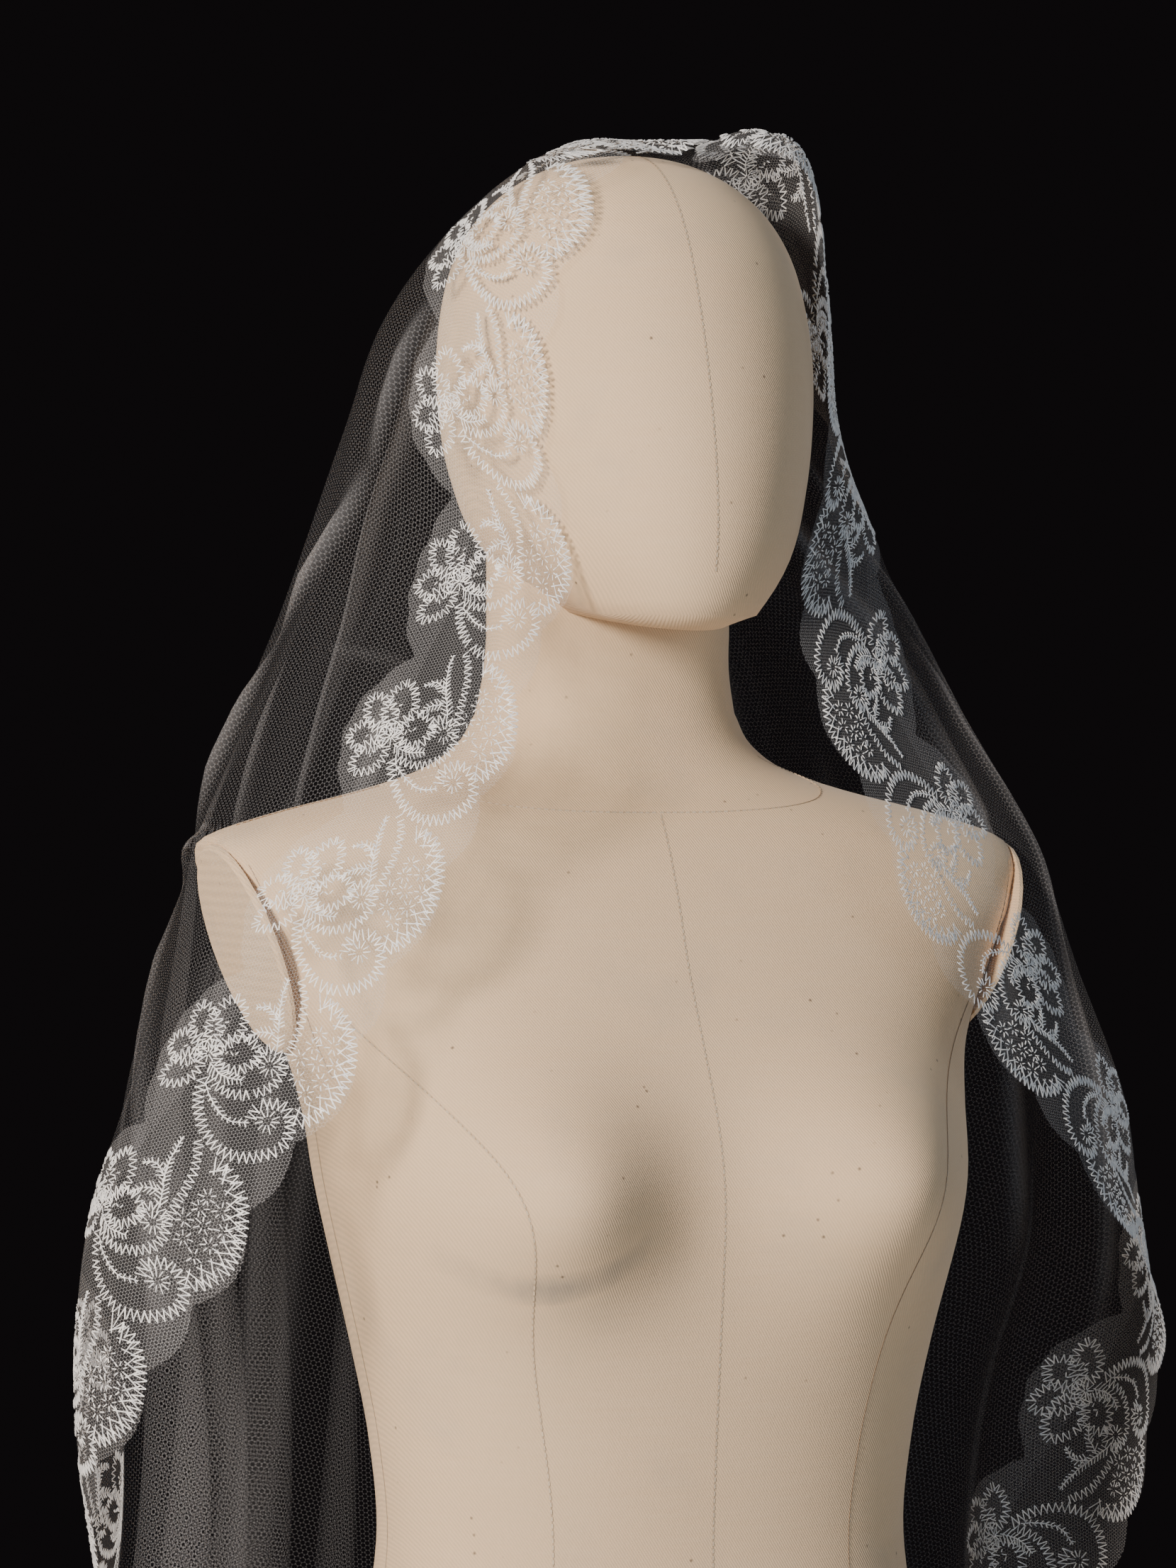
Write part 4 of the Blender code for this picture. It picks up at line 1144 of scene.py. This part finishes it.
# Each repeat has a large and a small scallop, and ripples along both
LARGE_SCALLOP, SMALL_SCALLOP = 0.009, 0.005
LARGE_SHARE = 0.58
SCALLOP_SHIFT = 0.33
RIPPLES, RIPPLE_DEPTH = 19, 0.0009
INNER_EDGE = 0.0945
INNER_SWELL, SWELL_ROUNDNESS = 0.022, 0.8
INNER_WANDER, INNER_WANDER_TURNS = 0.0008, 310
FLOWER_PLACE = 0.81

alongs = np.arange(REPEATS * LACE_COLUMNS) * REPEAT / LACE_COLUMNS
scallop_place = np.mod(alongs / REPEAT + SCALLOP_SHIFT, 1)
large = np.sin(math.pi * np.minimum(scallop_place / LARGE_SHARE, 1))
small = np.sin(math.pi * np.maximum((scallop_place - LARGE_SHARE) / (1 - LARGE_SHARE), 0))
ripple = np.abs(np.sin(alongs / REPEAT * math.pi * RIPPLES))
outer_edge = LARGE_SCALLOP - (LARGE_SCALLOP * large + SMALL_SCALLOP * small)
outer_edge += RIPPLE_DEPTH * (1 - ripple)
swell = np.abs(np.cos(math.pi * (alongs / REPEAT - FLOWER_PLACE))) ** SWELL_ROUNDNESS
inner_edge = INNER_EDGE - INNER_SWELL * (1 - swell)
inner_edge += INNER_WANDER * np.sin(alongs * INNER_WANDER_TURNS)
band = np.linspace(0, 1, LACE_ROWS)
band_inside = outer_edge[None, :] + (inner_edge - outer_edge)[None, :] * band[:, None]
lace_x, lace_y = flat_point(np.broadcast_to(alongs, band_inside.shape), band_inside)
lace_x, lace_y = lace_x.ravel(), lace_y.ravel()
lace_points = drape(lace_x, lace_y) + cloth_normals(lace_x, lace_y) * LACE_LIFT
ground = Finish("lace_ground")
ground_cover, ground_line, ground_cloud = tulle(ground, LACE_CELL, LACE_THREADS, LACE_HAZE)
ground_white = ground.wear(
    Base_Color=ground.blend(ground_cloud, *LACE_TONES),
    Roughness=0.65 + ground_line * 0.1,
    Specular_IOR_Level=0.3,
    Sheen_Weight=0.4,
    Sheen_Roughness=0.4,
    Alpha=ground_cover,
)
lace_faces = [face[::-1] for face in grid_faces(LACE_ROWS, len(alongs), closed=True)]
lace_ground = cloth_piece("lace_ground", lace_x, lace_y, lace_points, lace_faces, ground_white)
share_attribute(lace_ground, "gather", np.zeros(len(lace_x)))
# The lace ground has no painted shade: its share of unshaded cover is one everywhere
share_attribute(lace_ground, "unshaded_share", np.ones(len(lace_x)))
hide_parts("lace_edging")
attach(lace_ground, "root")


# The embroidery. A machine lays glossy white thread in open zigzag: in each repeat a five-petal
# flower, two scrolls that curl round small rosettes, a twig, long leaves, and a cluster of rings
# inside the edge's border.
MM = 0.001
THREAD_WIDTH = 0.86 * MM
THREAD_HEIGHT = 0.45 * MM
THREAD_LIFT = 0.55 * MM
# Blue-grey to warm white: the darker tone paints shaded stitches and the lighter one painted glints
SILK_SHADE_TO_GLINT_TONES = ((0.60, 0.61, 0.64, 1), (0.97, 0.95, 0.92, 1))

# The motif, in millimetres along the edge and outwards from the flower's centre
FLOWER_INSIDE = 67.0
# Each petal's tip, and half its width
PETAL_ROWS = (
    (31, -2, 11.0),
    (19, -20, 10.0),
    (13, 22, 10.5),
    (-6, -25, 10.0),
    (-24, -14, 9.4),
)
SPIKY_LEAF = ((-3, 3), (-5, 12), (-2, 22))
BIG_SCROLL = (
    *((-11, 5), (-21, 11), (-30, 22), (-33, 35), (-27, 47)),
    *((-16, 54), (-6, 51), (-2, 43), (-7, 35), (-14, 35)),
)
INNER_SCROLL = ((-10, 7), (-10, 20), (-4, 30), (5, 35), (14, 33), (17, 26), (13, 21), (7, 22))
ROSETTES = ((-11, 42), (10, 28))
TWIG = ((-13, 9), (-18, 18), (-20, 27), (-16, 36))
BORDER = ((49, 36), (47, 46), (39, 55), (26, 61), (12, 62), (1, 58), (-4, 54))
RINGS = ((12, 42), (20, 38), (28, 41), (32, 49), (25, 54), (16, 52), (22, 46), (8, 49), (34, 41))
LONG_LEAF = ((15, 33), (24, 32), (34, 31), (44, 28), (53, 22))
FEATHERS = (
    ((18, 27), (28, 22), (38, 18), (49, 16)),
    ((24, 22), (20, 15), (14, 11)),
    ((30, 21), (33, 14), (30, 8)),
)
# Stitches that ray from a centre: inner and outer radius, and how many
EYE = (0.6, 4.6, 9)
ROSETTE = (1.9, 5.4, 11)
RING = (1.5, 4.0, 7)
# Zigzags: how wide the thread is thrown, how often, and how far it leans
PETAL_STITCH = {"width": 4.6, "every": 1.6}
VEIN_STITCH = {"width": 1.6, "every": 2.4, "lean": 0.9}
BIG_SCROLL_STITCH = {"width": 5.2, "every": 1.5}
INNER_SCROLL_STITCH = {"width": 4.4, "every": 1.5}
BORDER_STITCH = {"width": 5.4, "every": 1.55}
BORDER_FILLING = {"width": 7.0, "every": 3.0, "lean": 0.7}
LONG_LEAF_STITCH = {"width": 4.0, "every": 1.6}
# Feathered stems: how long the side stitches are, how often, and their share of that at the tip
SPIKY_LEAF_STITCH = {"length": 5.2, "every": 1.9, "taper": 0.5}
TWIG_STITCH = {"length": 2.2, "every": 2.6, "taper": 0.9}
FEATHER_STITCH = {"length": 4.0, "every": 2.1, "taper": 0.4}
STEM_HALF, SIDE_LEAN, SIDE_REACH = 0.6, 0.7, 0.8
VEIN_FROM, VEIN_TO = 0.2, 0.55
FILLING_SHRINK, FILLING_SHIFT = 0.94, (1.2, 0.2)
# A petal's thread runs this far inside its size, from a little outside the flower's eye
PETAL_FROM, PETAL_TIP_IN, PETAL_SIDE_IN, PETAL_BLUNT = 4.5, 1.5, 2.0, 0.35
LOOK_EITHER_WAY = 0.3


def through(points, count=60):
    """A smooth path through a few points."""
    known = np.arange(len(points))
    steps = np.linspace(0, len(points) - 1, count)
    return np.stack([smooth_row(steps, known, [p[i] for p in points]) for i in (0, 1)], axis=1)


def stepped(path, every):
    """Places each so far apart along a path, with the path's direction there."""
    runs = np.concatenate(([0], np.cumsum(np.hypot(*np.diff(path, axis=0).T))))
    marks = np.arange(every / 2, runs[-1], every)
    before, places, after = (
        np.stack([np.interp(marks + ahead_by, runs, path[:, i]) for i in (0, 1)], axis=1)
        for ahead_by in (-LOOK_EITHER_WAY, 0, LOOK_EITHER_WAY)
    )
    run = after - before
    return places, run / np.maximum(np.hypot(*run.T), TINY)[:, None]


def zigzag(path, width, every, lean=0.30):
    """The thread thrown from side to side of a path, one stitch across for each throw."""
    places, run = stepped(path, every)
    side = np.stack((-run[:, 1], run[:, 0]), axis=1)
    half = (side + run * lean * np.resize((1, -1), len(run))[:, None]) * width / 2
    return list(zip(places - half, places + half))


def feathered(path, length, every, taper):
    """A stem in running stitch, with side stitches that lean towards its tip."""
    places, run = stepped(path, every)
    side = np.stack((-run[:, 1], run[:, 0]), axis=1)
    reach = np.linspace(1.0, taper, len(places))[:, None] * length
    stitches = list(zip(places - run * every * STEM_HALF, places + run * every * STEM_HALF))
    for way in (-1, 1):
        stitches += list(zip(places, places + (run * SIDE_LEAN + side * way) * reach * SIDE_REACH))
    return stitches


def spokes(centre, inner, outer, count, turn=0.0):
    """Straight stitches that ray from a centre."""
    stitches = []
    for i in range(count):
        angle = turn + 2 * math.pi * i / count
        arm = np.array((math.cos(angle), math.sin(angle)))
        stitches.append((np.array(centre) + arm * inner, np.array(centre) + arm * outer))
    return stitches


def petal(tip_along, tip_out, half_width):
    """A petal's outline, from the flower's centre round its tip and back."""
    length = math.hypot(tip_along, tip_out)
    tip = np.array((tip_along, tip_out)) / length
    side = np.array((-tip[1], tip[0]))
    round_it = np.linspace(0, 2 * math.pi, 50)
    outwards = (1 - np.cos(round_it)) / 2
    away_by = PETAL_FROM + (length - PETAL_FROM - PETAL_TIP_IN) * outwards
    blunt = 1 - PETAL_BLUNT * outwards**3
    aside_by = (half_width - PETAL_SIDE_IN) * np.sin(round_it) * blunt
    return away_by[:, None] * tip + aside_by[:, None] * side


motif = spokes((0, 0), *EYE)
for tip_along, tip_out, half_width in PETAL_ROWS:
    motif += zigzag(petal(tip_along, tip_out, half_width), **PETAL_STITCH)
    vein = np.outer((VEIN_FROM, VEIN_TO), (tip_along, tip_out))
    motif += zigzag(vein, **VEIN_STITCH)
motif += feathered(through(SPIKY_LEAF), **SPIKY_LEAF_STITCH)
motif += zigzag(through(BIG_SCROLL, 120), **BIG_SCROLL_STITCH)
motif += zigzag(through(INNER_SCROLL, 90), **INNER_SCROLL_STITCH)
for rosette in ROSETTES:
    motif += spokes(rosette, *ROSETTE)
motif += feathered(through(TWIG), **TWIG_STITCH)
border = through(BORDER, 120)
motif += zigzag(border, **BORDER_STITCH)
motif += zigzag(border * FILLING_SHRINK + FILLING_SHIFT, **BORDER_FILLING)
for ring in RINGS:
    motif += spokes(ring, *RING, turn=ring[0])
motif += zigzag(through(LONG_LEAF), **LONG_LEAF_STITCH)
for feather in FEATHERS:
    motif += feathered(through(feather), **FEATHER_STITCH)
motif = np.array(motif)
motif_ends = np.stack((motif[:, :, 0], FLOWER_INSIDE - motif[:, :, 1]), axis=2) * MM

silk = Finish("embroidery_thread")
silk_twist = silk.noise(silk.coordinates(scale=(1500, 1500, 1500)), 1.0, detail=1.0)
# Painted light: stitches vary at random between the shaded and the glinting tone
glint_and_shade_cloud = silk.noise(silk.coordinates(), 420.0, detail=1.0)
silk_white = silk.wear(
    Base_Color=silk.blend((glint_and_shade_cloud - 0.3) * 2.5, *SILK_SHADE_TO_GLINT_TONES),
    Roughness=0.34 + silk_twist * 0.22,
    Specular_IOR_Level=0.6,
    Sheen_Weight=0.25,
    Sheen_Roughness=0.3,
    Normal=silk.bump(silk_twist, 0.0001, 0.5),
)


# How unevenly the machine sews: each end's place, stitches lost, half width and height
STRAY = 0.22 * MM
LOST = 0.015
HALF_WIDTHS = (0.42, 0.58)
HEIGHTS = (0.8, 1.25)
END_WIDTH, RIDGE_IN = 0.6, 0.2
# A stitch's faces: four corners on the cloth, 0 to 3, and its ridge's two ends, 4 and 5
STITCH_FACES = ((0, 4, 1), (1, 4, 5, 2), (2, 5, 3), (3, 5, 4, 0))


def stitched(name, repeats, seed):
    """The motif sewn onto a run of repeats, each stitch a low ridge of thread on the cloth."""
    chance = np.random.default_rng(seed)
    ends = []
    for k in repeats:
        here = motif_ends + chance.normal(0, STRAY, motif_ends.shape)
        here = here[chance.random(len(here)) > LOST]
        here[:, :, 0] += (k + FLOWER_PLACE) * REPEAT
        ends.append(here)
    ends = np.concatenate(ends)
    start, end = (np.stack(flat_point(*ends[:, i].T), axis=1) for i in (0, 1))
    run = end - start
    half = np.stack((-run[:, 1], run[:, 0]), axis=1)
    half /= np.maximum(np.linalg.norm(half, axis=1, keepdims=True), TINY)
    half *= THREAD_WIDTH * chance.uniform(*HALF_WIDTHS, (len(run), 1)) * END_WIDTH
    middle = (start + end) / 2
    out = cloth_normals(middle[:, 0], middle[:, 1])
    heights = THREAD_HEIGHT * chance.uniform(*HEIGHTS, (len(run), 1))
    corners = (start + half, start - half, end - half, end + half)
    ridge = (start + run * RIDGE_IN, end - run * RIDGE_IN)
    layers = [drape(*p.T) + out * THREAD_LIFT for p in corners]
    layers += [drape(*p.T) + out * (THREAD_LIFT + heights) for p in ridge]
    points = np.stack(layers, axis=1).reshape(-1, 3)
    faces = [tuple(6 * i + c for c in face) for i in range(len(run)) for face in STITCH_FACES]
    piece = sewn_piece(name, points, faces, silk_white)
    piece.data.shade_smooth()
    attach(piece, "root")
    return piece


quarter = REPEATS // 4
embroidery = [
    stitched("embroidery_front_left", range(0, quarter), 1),
    stitched("embroidery_back_left", range(quarter, 2 * quarter), 2),
    stitched("embroidery_back_right", range(2 * quarter, 3 * quarter + 1), 3),
    stitched("embroidery_front_right", range(3 * quarter + 1, REPEATS), 4),
]
